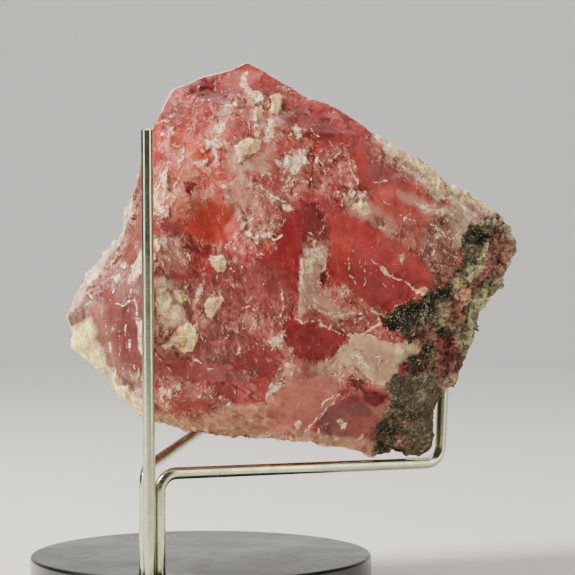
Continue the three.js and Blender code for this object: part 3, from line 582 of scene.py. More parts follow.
CLEAR_WINDOWS = patches(
    Layer.CLEAR,
    ((31, 96), (36, 97), (44, 95), (52, 89.6), (60, 83), (60, 79), (57, 76.6), (48, 72.6), (43, 74), (39, 78),
     (34, 80.6), (33.6, 91)),
    ((20, 99), (26, 101), (30, 98.6), (32, 93), (28, 91.4), (26, 88), (25.4, 78), (23, 77), (17, 83),
     (18, 86), (21, 91), (22, 95)),
    ((22, 69.6), (28, 69.4), (34, 67.4), (38, 66), (34, 61), (29, 59), (25, 60.4), (22, 64)),
    ((25, 127), (30, 126), (40, 118), (45, 113), (48, 107), (57, 104), (55, 97), (47, 99), (43, 103),
     (41, 108), (39, 115), (32, 113), (30, 116), (26, 120)),
    ((-3, 93), (-1, 97), (3, 100.4), (7, 100), (10, 97), (10.6, 93), (8, 89.6), (0, 89.6)),
    ((45, 99), (54, 104), (59, 101), (57, 96), (50, 93.6)),
    ((32, 45), (36, 50), (44, 51), (46, 46), (44, 38), (36, 38)),
    ((35, 60), (40.6, 66), (50, 63.4), (50, 56), (46, 54), (40, 57)),
    ((19, 51), (24, 55), (33, 56), (37, 53), (33, 47), (29, 43), (20, 43)),
    ((13, 61), (17, 62), (20, 58), (17, 50), (14, 51), (15, 56)),
    ((-8, 50), (2, 50), (4, 47), (-6, 46)),
    ((-1, 89), (6, 88.6), (8, 86.6), (2, 85.4)),
    ((10, 84), (17, 82.6), (22, 78), (20, 76), (12, 78.6)),
    ((-9, 60.4), (0, 60), (8, 57), (4, 54), (-8, 55.6)),
    ((-9, 96.6), (-5, 96), (-3, 92.4), (-8, 91.6)),
    ((47.6, 53), (51, 56), (60.6, 56.4), (61, 45), (60.6, 38), (57, 34.4), (51.4, 38), (54, 44), (51.6, 49)),
    ((-14, 104), (-12, 92), (-13, 52), (-20, 57), (-25, 64), (-28, 72), (-22, 82), (-17, 92)),
    ((6, 131.4), (13, 136), (21, 130.6), (19, 128.6), (13.4, 129.4), (10, 128)),
)
WHITE_STREAKS = lines(
    Layer.VEIN,
    (0.3, ((29.4, 113), (30.4, 111), (31.8, 109.4))),
    (0.3, ((37, 113.9), (38.2, 111.4), (39, 108), (40.4, 104.4))),
    (0.3, ((36.6, 113), (35, 111.6), (33.2, 111))),
    (0.3, ((33.6, 60), (37, 63.4), (40.6, 66.9), (45, 65.6), (50, 63.8))),
    (0.28, ((46, 56.8), (42, 59.2), (39.4, 60.2), (38.8, 61.6), (41, 61.8), (46, 60.4))),
    (0.35, ((17.4, 49.6), (17.6, 52), (19, 54), (21.4, 54))),
    (0.25, ((30.8, 44.6), (33.4, 48), (36, 50.8))),
    (0.3, ((47.4, 53.2), (51, 50.8), (54.6, 47.6))),
    (0.42, ((-3.5, 114.8), (-3.6, 112.4), (-4.6, 110), (-5.2, 108), (-5, 105.6), (-6, 104), (-6.8, 102),
            (-7.8, 100.6))),
    (0.14, ((25.9, 71), (25.9, 80), (26.6, 86.4))),
    (0.22, ((30.4, 78), (31.4, 81), (32.4, 84), (33, 87.4))),
    (0.25, ((25, 70.4), (26.6, 69.5), (28, 69.6))),
    (0.2, ((28.4, 69.3), (30, 70), (31.2, 70.6))),
    (0.3, ((-18.6, 102), (-20.4, 92), (-25.4, 85.4), (-29.4, 79.4), (-32.4, 75))),
    (0.3, ((-7.6, 109.6), (-9, 106), (-10.2, 103))),
    (0.25, ((-10.6, 120.4), (-8.4, 120.8), (-6.2, 122.6))),
    (0.2, ((-9, 119), (-7.4, 121))),
    (0.3, ((18, 91.6), (19.6, 90.2), (21.6, 91.4))),
    (0.25, ((6.6, 88), (8.4, 90), (10, 92.4))),
    (0.22, ((28.2, 92.4), (29.6, 91.4), (29.8, 88.6))),
    (0.2, ((30, 92), (31.4, 92.2), (32, 94.4), (32.4, 96))),
    (0.24, ((37, 84.8), (38.2, 83.8), (38.6, 82), (39.6, 80.6), (40.2, 79))),
    (0.2, ((38.5, 85.8), (38.5, 83))),
    (0.25, ((41.4, 86.2), (41.2, 84), (42.6, 82), (42.6, 80.6), (42.2, 78.6))),
    (0.4, ((44, 85.6), (46, 84), (47, 82.2), (49, 80.8), (52, 80.2), (53.4, 79))),
    (0.35, ((53, 79.6), (54.2, 78), (56, 76.8))),
    (0.2, ((39.4, 76.8), (40.4, 75.8), (42, 75), (42.6, 73.4), (43.4, 72))),
    (0.4, ((43.4, 73), (46.4, 71.6), (48.2, 70.2))),
    (0.3, ((34, 70.6), (37, 71.4), (39.4, 71.8), (41.6, 71.8))),
    (0.25, ((31.6, 73.4), (34, 71.4), (37, 70.4), (40, 70.2))),
    (0.2, ((30.6, 74.6), (31, 72.6), (33, 70.8), (35.6, 69.4))),
    (0.22, ((32.8, 84.4), (31.6, 82.6), (30.8, 80.6), (30.2, 78.8))),
    (0.2, ((51, 96.2), (52.2, 97), (53.4, 95.6), (55.2, 95.2))),
    (0.2, ((52.4, 95), (53, 96.6), (54, 97))),
    (0.2, ((46.8, 100.4), (49, 99.6), (50, 100.2))),
    (0.3, ((44.2, 105.8), (46, 105), (48, 105.4))),
    (0.15, ((27.6, 119.4), (31, 116.6), (35, 114.2))),
    (0.25, ((16, 105), (17, 107.8), (18.4, 106.8), (19.4, 104.4), (18.6, 103.2))),
    (0.35, ((15.4, 104.8), (17, 103), (19, 101.4), (21.8, 100))),
    (0.35, ((21.4, 78.6), (21.6, 75), (21.8, 72.4), (21, 70.8))),
    (0.2, ((11, 73.4), (13, 73.2), (14.6, 72.2), (15.4, 73.6))),
    (0.2, ((16, 78), (16.8, 80), (18.6, 81.2))),
    (0.3, ((-9.2, 85.4), (-8.6, 83.4), (-7.8, 82))),
    (0.3, ((-8.4, 81), (-8.2, 79), (-8.6, 77.4))),
    (0.22, ((-3.4, 86), (-3.4, 83))),
    (0.22, ((-2.6, 87), (-1.8, 85))),
    (0.2, ((4.6, 80), (5, 81.6))),
    (0.3, ((-16.2, 75.6), (-15.6, 73), (-15.2, 71))),
    (0.3, ((-21.4, 74.4), (-19, 73.4), (-17.4, 75), (-17.2, 77.6))),
    (0.25, ((-17.4, 66), (-17.8, 63), (-17.4, 61))),
    (0.25, ((-22.6, 64.4), (-22.2, 61.6))),
    (0.2, ((-19.8, 67), (-20, 64))),
    (0.18, ((-16.6, 60), (-16.2, 57))),
    (0.18, ((-21.4, 69), (-21.8, 66.4))),
    (0.14, ((-23.4, 70), (-23.2, 66), (-22.6, 63.4))),
    (0.12, ((-20.4, 66.4), (-20, 61), (-19, 57.4))),
    (0.14, ((-18.6, 70.4), (-18.4, 66))),
    (0.12, ((-24.6, 73.6), (-24.4, 70.4))),
    (0.14, ((-17.2, 57), (-16.6, 53.6))),
    (0.3, ((-15.2, 57.4), (-15.4, 54.6))),
    (0.3, ((-14.2, 56), (-14, 53))),
    (0.35, ((-28, 77), (-27.2, 75))),
    (0.3, ((-21.6, 78.4), (-22, 76.8))),
    (0.25, ((4.8, 57.4), (2.4, 58), (-1, 60))),
    (0.3, ((0.8, 52.6), (2.4, 51.6), (3.4, 50))),
    (0.5, ((66.2, 100.6), (68, 97.4), (69.8, 93.6))),
    (0.4, ((62, 90.4), (62.4, 91.6), (64, 90.9), (65.2, 90.7), (66, 91.4))),
    (0.3, ((58.2, 94.8), (60, 94.2), (61.4, 93), (61.8, 91.6))),
    (0.35, ((57, 98.6), (60, 98), (63, 98.4), (65, 97))),
    (0.25, ((61.6, 88.6), (63.4, 87), (66, 85.6), (67.6, 84.6))),
    (0.18, ((60.4, 84.4), (63, 83.6), (66, 83.4))),
    (0.2, ((62, 80.4), (64, 81), (66, 81.4), (68, 80.8))),
    (0.25, ((59, 89.4), (60, 88), (59.6, 86.6))),
    (0.45, ((74.6, 90.6), (73, 88.4), (71.8, 87.2), (71.4, 85), (70.6, 82.4), (69, 80.2))),
    (0.3, ((31, 47.6), (34.6, 51))),
    (0.25, ((45.9, 60), (46.2, 57), (45.6, 55.4))),
    (0.3, ((27, 41), (29, 43.6), (30.4, 45.4))),
)
DARK_CRACKS = lines(
    Layer.PIT,
    (0.28, ((47.7, 60.2), (46.6, 59.2), (46, 58), (45.4, 57.6))),
    (0.24, ((46.1, 56.6), (45.7, 56), (45.6, 55.2))),
    (0.22, ((49.4, 50.4), (51, 49.6), (52.4, 48.4), (54, 47))),
    (0.25, ((-2, 101.4), (-4, 105.3), (0, 104.4))),
    (0.25, ((-5.4, 123), (-3, 125.4), (-1.6, 127))),
    (0.3, ((-4, 121.6), (-2, 124), (-0.6, 126.4))),
    (0.25, ((40, 57.6), (44, 54.4), (48, 51.8))),
    (0.2, ((-3.4, 89), (1, 88.6), (7, 89))),
    (0.3, ((60.4, 95.6), (63.8, 97), (66, 95))),
    (0.35, ((58.6, 96), (61, 96.4), (62, 94))),
    (0.3, ((59, 85), (63, 84.2), (67, 83.2))),
    (0.3, ((58, 82.4), (62, 81.6))),
    (0.2, ((-4.6, 88.4), (-1, 88.8), (3, 88.2))),
    (0.16, ((-3.6, 87.2), (0, 87.5), (4, 86.9))),
)
# hollows where chips have gone, painted dark as their shade
HOLLOWS = patches(
    Layer.PIT,
    ((-3.8, 105.2), (0, 104.4), (-2.1, 101.4)),
    ((-3.6, 127), (-1, 129.2), (3, 129.8), (7.4, 127.4), (3, 128.2), (-0.6, 127.8)),
    ((-4, 75.4), (-2, 74), (-1, 70.6), (-2, 69.2), (-3.4, 70.6)),
    ((38, 54.8), (41.8, 54.8), (42.4, 51.6), (39.6, 52.4)),
    ((42, 52.2), (45, 51.8), (48.4, 50.4), (45.2, 47.6), (42.4, 49.2)),
    ((51, 58.6), (54, 60.4), (58, 60), (57.6, 56.4), (53, 56)),
)
CHLORITE = patches(
    Layer.CHLORITE,
    ((46.6, 69.4), (48, 71.6), (50, 73), (53, 74.6), (55.6, 75.4), (58.6, 76.4), (60.6, 78), (63.4, 78.8),
     (64.8, 78.4), (64.4, 76), (61.6, 75.4), (61, 72), (59.6, 70), (56.4, 69.4), (54, 67), (50, 66.8),
     (48, 68)),
    ((52.6, 66.2), (54.6, 66.8), (54.6, 64.4), (53.6, 63.4)),
    ((56.8, 63.4), (58, 64), (60.2, 64.2), (59.8, 62), (58.4, 60.8)),
    ((60, 66), (63, 68.4), (63.8, 67.6), (61, 65)),
    ((64.6, 65.8), (66, 65.4), (65.8, 64.2), (64.4, 64.8)),
    ((55.4, 60.4), (57.6, 60.6), (57.6, 57.8), (55.6, 58.4)),
    ((58.6, 56), (60, 56), (59.8, 54.6), (58.6, 54.8)),
    ((45.6, 42), (48, 43.8), (49.8, 42.8), (51.6, 41.8), (50, 39.8), (49, 39.8), (48, 41.2), (46.8, 40.4),
     (47.2, 38.2), (48.8, 38.4), (48.6, 36.6), (46, 36.4), (45.4, 38.4)),
    ((51, 43.6), (52.8, 43), (52.6, 41.4), (51.2, 42.2)),
    ((53.4, 46.2), (55.4, 46), (56.2, 45), (54.6, 44.4), (53.6, 45)),
    ((57.8, 43.6), (59.6, 43.4), (59.4, 41.8), (58.4, 42)),
    ((70, 92.8), (74.8, 92.6), (75, 91), (72, 90.4), (70.2, 91.2)),
    ((68, 91.6), (69.4, 91.6), (69, 90.2), (68, 90.4)),
    ((70, 86), (71, 86), (71, 83.4), (70, 82.4)),
    ((68, 82.4), (69, 82.2), (68.6, 81)),
    ((76.2, 93.8), (77.2, 93.6), (77, 92.6), (76.2, 92.8)),
    ((77, 85), (78.4, 84.4), (78, 83.4), (76.8, 83.8)),
)
MARKS = (
    *CRUSTS, *FROSTING, *THIN_FROSTING, *CLEAR_WINDOWS,
    *WHITE_STREAKS, *DARK_CRACKS, *HOLLOWS, *CHLORITE,
)

# ---- seeded patterns over points

class Clouds:
    """Smooth seeded noise of about one lump per size, in millimetres."""

    SLOPES = 256
    GAIN = 1.7
    SHIFTS = ((0, 0, 0), (31.7, 5.2, 9.1), (7.3, 43.9, 17.7))

    def __init__(self, seed: int, size: float) -> None:
        """Draws the slopes of the noise.

        Args:
            seed: seed of the pattern.
            size: distance over which the noise changes, in millimetres.
        """
        rng = np.random.default_rng(seed)
        self.size = size
        self.order = np.concatenate([rng.permutation(self.SLOPES)] * 3)
        slopes = rng.normal(size=(self.SLOPES, 3))
        self.slopes = slopes / np.linalg.norm(slopes, axis=1)[:, None]

    def at(self, points: Rows) -> Rows:
        """Reads the noise.

        Args:
            points: rows of points in millimetres.

        Returns:
            The noise at each point, about -1 to 1.
        """
        spots = points / self.size
        cell = np.floor(spots).astype(int)
        inside = spots - cell
        ease = inside ** 3 * (inside * (inside * 6 - 15) + 10)
        total = np.zeros(len(points))
        for corner in np.ndindex(2, 2, 2):
            x, y, z = ((cell + corner) & (self.SLOPES - 1)).T
            slope = self.slopes[self.order[self.order[self.order[x] + y] + z]]
            weight = np.prod(np.where(corner, ease, 1 - ease), axis=1)
            total += weight * np.sum(slope * (inside - corner), axis=1)
        return total * self.GAIN

    def push(self, points: Rows, reach: float) -> Rows:
        """Moves points about by up to reach, in millimetres."""
        shifted = [points + np.array(offset) for offset in self.SHIFTS]
        return points + reach * np.stack([self.at(p) for p in shifted], axis=1)


class Chips:
    """Seeded cells about as wide as size, each with random numbers of its own."""

    KINDS = 1024
    TRAITS = 4
    FAR = 9.0

    def __init__(self, seed: int, size: float) -> None:
        """Draws the cells.

        Args:
            seed: seed of the pattern.
            size: width of a cell in millimetres.
        """
        rng = np.random.default_rng(seed)
        self.size = size
        self.order = np.concatenate([rng.permutation(self.KINDS)] * 3)
        self.jitter = rng.random((self.KINDS, 3))
        self.traits = rng.uniform(-1, 1, (self.KINDS, self.TRAITS))

    def nearest(self, points: Rows) -> tuple[Rows, Rows, Rows]:
        """Finds the cell of each point.

        Args:
            points: rows of points in millimetres.

        Returns:
            The gap to the cell's edge, the offset from its middle in millimetres, and its four random
            numbers of -1 to 1.
        """
        spots = points / self.size
        cell = np.floor(spots).astype(int)
        first = np.full(len(points), self.FAR)
        second = np.full(len(points), self.FAR)
        offset = np.zeros((len(points), 3))
        pick = np.zeros(len(points), int)
        for step in np.ndindex(3, 3, 3):
            x, y, z = ((cell + step - 1) & (self.KINDS - 1)).T
            key = self.order[self.order[self.order[x] + y] + z]
            gap = spots - (cell + step - 1 + self.jitter[key])
            reach = np.linalg.norm(gap, axis=1)
            closer = reach < first
            second = np.where(closer, first, np.minimum(second, reach))
            first = np.where(closer, reach, first)
            offset[closer] = gap[closer]
            pick[closer] = key[closer]
        return (second - first) * self.size, offset * self.size, self.traits[pick]


# ---- shader building

class Shader:
    """A finish's node tree, built node by node."""

    def __init__(self, name: str) -> None:
        """Starts an empty material.

        Args:
            name: the material's name.
        """
        self.material = bpy.data.materials.new(name)
        self.material.use_nodes = True
        self.nodes = self.material.node_tree.nodes
        self.links = self.material.node_tree.links
        self.nodes.clear()

    def add(self, kind: str, inputs: dict | None = None, **settings: str) -> Node:
        """Adds a node.

        Args:
            kind: the node's type without its ShaderNode prefix.
            inputs: values or sockets for its inputs, by name or number.
            settings: its own properties.

        Returns:
            The node.
        """
        node = self.nodes.new(f"ShaderNode{kind}")
        for key, value in settings.items():
            setattr(node, key, value)
        for key, value in (inputs or {}).items():
            if isinstance(value, Socket):
                self.links.new(value, node.inputs[key])
            elif value is not None:
                node.inputs[key].default_value = value
        return node

    def place(self) -> Socket:
        """Object coordinates in millimetres."""
        return self.scaled(self.add("TexCoord").outputs["Object"], 1 / MM)

    def layer(self, name: str) -> Socket:
        """A number that the mesh carries."""
        return self.add("Attribute", attribute_name=name).outputs["Fac"]

    def noise(self, place: Socket, size: float, detail: float = 2, rough: float = 0.5,
              twist: float = 0) -> Socket:
        """Noise of about one lump per size, in the units of place."""
        values = {"Vector": place, "Scale": 1 / size, "Detail": detail, "Roughness": rough,
                  "Distortion": twist}
        return self.add("TexNoise", values).outputs["Fac"]

    def cells(self, place: Socket, size: float) -> Node:
        """Cells of about that size, in the units of place."""
        return self.add("TexVoronoi", {"Vector": place, "Scale": 1 / size}, feature="F1")

    def cell_edges(self, place: Socket, size: float) -> Socket:
        """Distance to the edges of the cells of that size."""
        inputs = {"Vector": place, "Scale": 1 / size}
        return self.add("TexVoronoi", inputs, feature="DISTANCE_TO_EDGE").outputs["Distance"]

    def pick(self, cells: Node) -> Socket:
        """One random number for each cell."""
        return self.add("SeparateColor", {0: cells.outputs["Color"]}).outputs[0]

    def spread(self, colour: Socket, amount: float) -> Socket:
        """A random colour as a random direction, up to half of amount long each way."""
        return self.scaled(self.sum_places(colour, (-0.5, -0.5, -0.5)), amount)

    def sum_places(self, a: Socket, b: Socket | Triple) -> Socket:
        """Vector a plus vector b."""
        return self.add("VectorMath", {0: a, 1: b}).outputs[0]

    def noisy(self, place: Socket, size: float, reach: float) -> Socket:
        """The place pushed about by up to reach, changing over size."""
        push = self.add("TexNoise", {"Vector": place, "Scale": 1 / size, "Detail": 1}).outputs["Color"]
        return self.sum_places(place, self.spread(push, 2 * reach))

    def scaled(self, colour: Socket, factor: Number) -> Socket:
        """A colour or place times a factor."""
        return self.add("VectorMath", {0: colour, "Scale": factor}, operation="SCALE").outputs[0]

    def turned(self, place: Socket, angles: Triple, squeeze: Triple) -> Socket:
        """The place turned by angles in degrees, then squeezed along its own axes."""
        turn = self.add("Mapping", {"Vector": place, "Rotation": [math.radians(a) for a in angles]})
        return self.add("Mapping", {"Vector": turn.outputs[0], "Scale": squeeze}).outputs[0]

    def sum(self, a: Number, b: Number) -> Socket:
        """a plus b."""
        return self.add("Math", {0: a, 1: b}, operation="ADD").outputs[0]

    def times(self, a: Number, b: Number) -> Socket:
        """a times b."""
        return self.add("Math", {0: a, 1: b}, operation="MULTIPLY").outputs[0]

    def swing(self, value: Socket, amount: float) -> Socket:
        """How far a value is from one half, times an amount."""
        return self.times(self.sum(value, -0.5), amount)

    def most(self, a: Number, b: Number) -> Socket:
        """The greater of a and b."""
        return self.add("Math", {0: a, 1: b}, operation="MAXIMUM").outputs[0]

    def blend(self, share: Number, a: Number, b: Number) -> Socket:
        """Numbers a and b mixed by share."""
        return self.add("Mix", {0: share, 2: a, 3: b}, data_type="FLOAT").outputs[0]

    def ramp(self, value: Socket, low: float, high: float, start: float = 0, end: float = 1) -> Socket:
        """Smooth change from start to end as value goes from low to high."""
        values = {"Value": value, "From Min": low, "From Max": high, "To Min": start, "To Max": end}
        return self.add("MapRange", values, interpolation_type="SMOOTHSTEP").outputs["Result"]

    def mix(self, share: Number, a: Tone, b: Tone) -> Socket:
        """Colours a and b mixed by share."""
        return self.add("Mix", {0: share, 6: a, 7: b}, data_type="RGBA").outputs[2]

    def product(self, a: Tone, b: Tone) -> Socket:
        """Colour a times colour b."""
        return self.add("Mix", {0: 1.0, 6: a, 7: b}, data_type="RGBA", blend_type="MULTIPLY").outputs[2]

    def bump(self, height: Socket, strength: float, depth: float, under: Socket | None = None) -> Socket:
        """A normal with relief over the one under it, depth in millimetres."""
        values = {"Height": height, "Strength": strength, "Distance": depth * MM, "Normal": under}
        return self.add("Bump", values).outputs["Normal"]

    def surface(self, inputs: dict) -> Material:
        """Ends the tree with its shader.

        Args:
            inputs: values or sockets for the shader's inputs, by name.

        Returns:
            The material.
        """
        shader = self.add("BsdfPrincipled", inputs)
        self.add("OutputMaterial", {"Surface": shader.outputs[0]})
        return self.material


# ---- finishes

class StoneShader(Shader):
    """The stone's node tree, with the patterns and carried numbers that several layers share."""

    PLANE_WIDTH = 3.6

    def __init__(self) -> None:
        """Starts the tree with what the layers share."""
        super().__init__("fluorite_finish")
        self.here = self.place()
        self.tint = self.add("Attribute", attribute_name="tint").outputs["Color"]
        # 0 in the middle of the smooth windows, 1 outside them.
        self.cloudy = self.ramp(self.layer("clear"), -1.4, 0.9)
        self.uneven = self.ramp(self.cloudy, 0, 1, 0.3, 1)
        self.thin = self.ramp(self.layer("haze"), 1.6, -1.2)
        self.wobble = self.noise(self.here, 1.3, 3, 0.6)
        self.sugar = self.noise(self.here, 0.5, 3, 0.65)
        coarse_grit = self.times(self.noise(self.here, 1.5, 5, 0.68, 1.0), 0.6)
        self.grit = self.sum(coarse_grit, self.times(self.sugar, 0.4))
        self.patchy = self.noise(self.here, 2.4, 3, 0.6, 0.4)
        self.wisps = self.noise(self.turned(self.here, (0, 38, 15), (1, 1, 0.5)), 1.7, 7, 0.68, 1.2)
        self.slant = self.turned(self.noisy(self.here, 4, 1.2), (20, 35, 10), (1, 0.45, 0.75))
        self.wide_planes = self.cells(self.slant, self.PLANE_WIDTH)
        small_slant = self.turned(self.noisy(self.here, 2, 0.5), (70, 15, 40), (1, 0.5, 0.8))
        self.small_planes = self.cells(small_slant, 1.35)
        # brightness of each small plane, used for painted light and shade
        self.small_plane_shade = self.pick(self.small_planes)


@dataclass(frozen=True)
class StoneFinish:
    """Cloudy pink-red fluorite with frosting, cream crust and grainy green-black matrix."""

    body_strength: float = 0.9
    cloud: Colour = srgb(186, 160, 164)
    frost_white: Colour = srgb(246, 228, 192)
    frost_pink: Colour = srgb(196, 138, 118)
    silk: Colour = srgb(232, 196, 166)
    crust: Colour = srgb(254, 244, 160)
    crust_shade: Colour = srgb(232, 196, 130)
    crack_dark_and_hollow_shade: Colour = srgb(92, 24, 20)
    green_black: Colour = srgb(14, 14, 9)
    moss: Colour = srgb(74, 68, 48)
    rock: Colour = srgb(112, 96, 78)
    rock_pale: Colour = srgb(178, 172, 136)
    rock_rust: Colour = srgb(116, 56, 48)
    rock_pink: Colour = srgb(160, 102, 98)

    def make(self) -> Material:
        """Builds the material.

        Returns:
            The material.
        """
        s = StoneShader()
        body = self.clear_body(s)
        body = self.light_marks(s, body)
        body, frosted = self.frosting(s, body)
        body, crusted = self.crusts(s, body)
        body = self.hollows(s, body)
        grains = s.cells(s.here, 0.6)
        grained = s.ramp(s.sum(s.layer("grain"), s.swing(s.wobble, 1.4)), 0.35, 0.6)
        colour = s.mix(grained, body, self.matrix(s, s.pick(grains)))
        colour, dark = self.chlorite(s, colour)
        opaque = s.most(s.most(grained, dark), s.most(crusted, frosted))
        relief = s.times(grains.outputs["Distance"], s.times(grained, 1.4))
        return s.surface({
            "Base Color": colour,
            "Roughness": s.sum(s.ramp(opaque, 0, 1, 0.33, 0.65), s.swing(s.wisps, 0.3)),
            "IOR": 1.434,
            "Subsurface Weight": s.ramp(opaque, 0, 1, 0.3, 0.08),
            "Subsurface Radius": (1.0, 0.4, 0.35),
            "Subsurface Scale": 2.2 * MM,
            "Specular IOR Level": 0.25,
            "Normal": self.facets(s, relief, crusted),
        })

    def clear_body(self, s: StoneShader) -> Socket:
        """The clear body: soft clouds, and planes each a little lighter or darker, which is painted light and
        shade.

        Args:
            s: the stone's node tree.

        Returns:
            The body's colour.
        """
        clouds = s.noise(s.here, 6, 3, 0.55, 0.4)
        body = s.mix(s.ramp(clouds, 0.36, 0.62, 0, 0.4), s.tint, s.product(s.tint, self.cloud))
        # Painted light and shade: each cleavage plane, wide and small, gets its own brightness.
        wide_plane_shade = s.ramp(s.pick(s.wide_planes), 0, 1, 0.68, 1.2)
        plane_light_and_shade = s.times(wide_plane_shade, s.ramp(s.small_plane_shade, 0, 1, 0.76, 1.2))
        body = s.scaled(body, s.blend(s.ramp(s.cloudy, 0, 1, 0.35, 1), 1.0, plane_light_and_shade))
        body = s.scaled(body, self.body_strength)

        # Some of the planes' edges are dark.
        seams = s.cell_edges(s.slant, s.PLANE_WIDTH)
        dark_seam = s.times(s.ramp(seams, 0.05, 0.015), s.times(s.ramp(s.patchy, 0.5, 0.42), s.cloudy))
        return s.scaled(body, s.ramp(dark_seam, 0, 1, 1, 0.66))

    def light_marks(self, s: StoneShader, body: Socket) -> Socket:
        """Milky wisps, fibres, short light strokes along the cleavage, and white specks that are painted
        glints.

        Args:
            s: the stone's node tree.
            body: the colour under them.

        Returns:
            The colour with them.
        """
        here = s.here
        haze = s.times(s.times(s.layer("haziness"), s.cloudy), 0.06)
        milky = s.sum(s.wisps, s.sum(s.times(s.thin, 0.11), haze))
        body = s.mix(s.times(s.ramp(milky, 0.54, 0.76, 0, 0.6), s.uneven), body, self.frost_pink)
        down = s.noise(s.turned(here, (0, 36, 0), (0.16, 1, 1)), 0.42, 3, 0.65)
        upward = s.noise(s.turned(here, (6, -10, 0), (1, 1, 0.16)), 0.42, 3, 0.65)
        fibres = s.blend(s.ramp(s.noise(here, 7, 2), 0.44, 0.56), down, upward)
        body = s.scaled(body, s.blend(s.uneven, 1.0, s.ramp(fibres, 0.34, 0.66, 0.84, 1.18)))

        # Where the marks are thick on the ground: outside the windows, and in patches.
        busy = s.times(s.sum(s.sum(s.thin, s.cloudy), -2), 0.06)
        busy = s.sum(busy, s.ramp(s.noise(here, 8, 2), 0.36, 0.64, -0.07, 0.05))
        upright = s.noise(s.turned(s.noisy(here, 5, 1.0), (8, -12, 0), (1, 1, 0.22)), 0.62, 4, 0.62, 0.5)
        patches = s.sum(s.times(s.noise(here, 3.6, 4, 0.65), 0.6), busy)
        stroke = s.ramp(s.sum(upright, patches), 0.96, 1.04)
        # White specks: painted glints.
        dust = s.sum(s.noise(here, 0.42, 2, 0.5), s.times(s.noise(here, 3.4, 2), 0.3))
        dust = s.ramp(s.sum(dust, busy), 0.89, 0.96, 0, 0.8)
        curl = s.noise(s.turned(here, (10, 12, 0), (1, 1, 0.4)), 3.3, 1, 0.4, 0.7)
        off_line = s.add("Math", {0: s.sum(curl, -0.5)}, operation="ABSOLUTE").outputs[0]
        thread = s.times(s.ramp(off_line, 0.014, 0.003), s.ramp(s.noise(here, 2.6, 3, 0.6), 0.56, 0.66))
        thread = s.times(thread, s.ramp(s.cloudy, 0, 1, 0.35, 1))
        falling = s.noise(s.turned(s.noisy(here, 4, 0.8), (0, 52, 0), (0.25, 1, 1)), 0.5, 4, 0.62, 0.4)
        scratch = s.ramp(s.sum(falling, s.sum(s.times(s.patchy, 0.7), busy)), 0.98, 1.06, 0, 0.75)
        needles = s.noise(s.turned(s.noisy(here, 5, 0.6), (0, 18, 0), (1, 1, 0.2)), 0.38, 3, 0.6)
        needles = s.ramp(s.sum(needles, s.times(s.noise(here, 5, 4, 0.6), 0.7)), 0.99, 1.07, 0, 0.5)
        needles = s.times(needles, s.ramp(s.cloudy, 0, 1, 0.15, 1))
        body = s.mix(needles, body, self.silk)
        light = s.most(s.most(stroke, thread), s.most(dust, scratch))
        return s.mix(s.times(light, 0.8), body, self.frost_white)

    def frosting(self, s: StoneShader, body: Socket) -> tuple[Socket, Socket]:
        """Thick frosting with a ragged edge and holes, white streaks, and ridges whitened partly as wear and
        partly as painted highlights.

        Args:
            s: the stone's node tree.
            body: the colour under them.

        Returns:
            The colour with them, and how frosted it is.
        """
        frosted = s.ramp(s.layer("frost"), 0.8, -0.9, 0, 0.4)
        frosted = s.ramp(s.sum(s.grit, frosted), 0.68, 0.84, 0, 0.92)
        frosted = s.times(frosted, s.ramp(s.sugar, 0.34, 0.48, 0.4, 1))
        frost_share = s.ramp(s.noise(s.here, 0.9, 4, 0.7), 0.42, 0.56)
        frost_tone = s.mix(frost_share, self.frost_pink, self.frost_white)
        # Painted light and shade: each small plane of the frosting a little lighter or darker.
        body = s.mix(frosted, body, s.scaled(frost_tone, s.ramp(s.small_plane_shade, 0, 1, 0.88, 1.06)))
        veined = s.ramp(s.layer("vein"), 0.26, -0.18, 0, 0.32)
        veined = s.ramp(s.sum(s.grit, veined), 0.68, 0.8, 0, 0.9)
        # Ridges whitened: partly wear, partly painted highlights along the edges.
        worn = s.ramp(s.sum(s.layer("ridge"), s.swing(s.grit, 1.6)), 0.2, 0.7, 0, 0.75)
        return s.mix(s.most(veined, worn), body, self.frost_white), frosted

    def crusts(self, s: StoneShader, body: Socket) -> tuple[Socket, Socket]:
        """Cream crust, thickest at its rim, with painted highlights and shade.

        Args:
            s: the stone's node tree.
            body: the colour under it.

        Returns:
            The colour with it, and how much of it is there.
        """
        edge = s.sum(s.layer("cream"), s.sum(s.swing(s.wobble, 1.6), s.swing(s.sugar, 0.9)))
        middle = s.ramp(s.noise(s.here, 2.2, 4, 0.6), 0.4, 0.58, 0.45, 1)
        crusted = s.times(s.ramp(edge, 0.15, -0.3, 0, 0.95), s.most(s.ramp(edge, -0.55, -0.15), middle))
        tone = s.mix(s.ramp(s.noise(s.here, 2.4, 5, 0.66), 0.38, 0.56), self.crust_shade, self.crust)
        pink_share = s.ramp(s.noise(s.here, 4.2, 4, 0.62, 0.8), 0.5, 0.58, 0, 0.7)
        tone = s.mix(pink_share, tone, self.frost_pink)
        # Painted highlights and shade: brighter and darker by fine noise and by small plane.
        crust_light_and_shade = s.times(s.ramp(s.sugar, 0.3, 0.6, 0.66, 1.36), s.ramp(s.small_plane_shade, 0, 1, 0.8, 1.12))
        return s.mix(crusted, body, s.scaled(tone, crust_light_and_shade)), crusted

    def hollows(self, s: StoneShader, body: Socket) -> Socket:
        """Darkens the cracks, and paints shade into the hollows."""
        # The cracks are dark; the hollows' darkness is painted shade.
        crack_dark_and_hollow_shade = s.ramp(s.layer("pit"), 0.25, -0.3, 0, 0.72)
        return s.mix(s.times(crack_dark_and_hollow_shade, s.ramp(s.sugar, 0.25, 0.5, 0.7, 1)), body, self.crack_dark_and_hollow_shade)

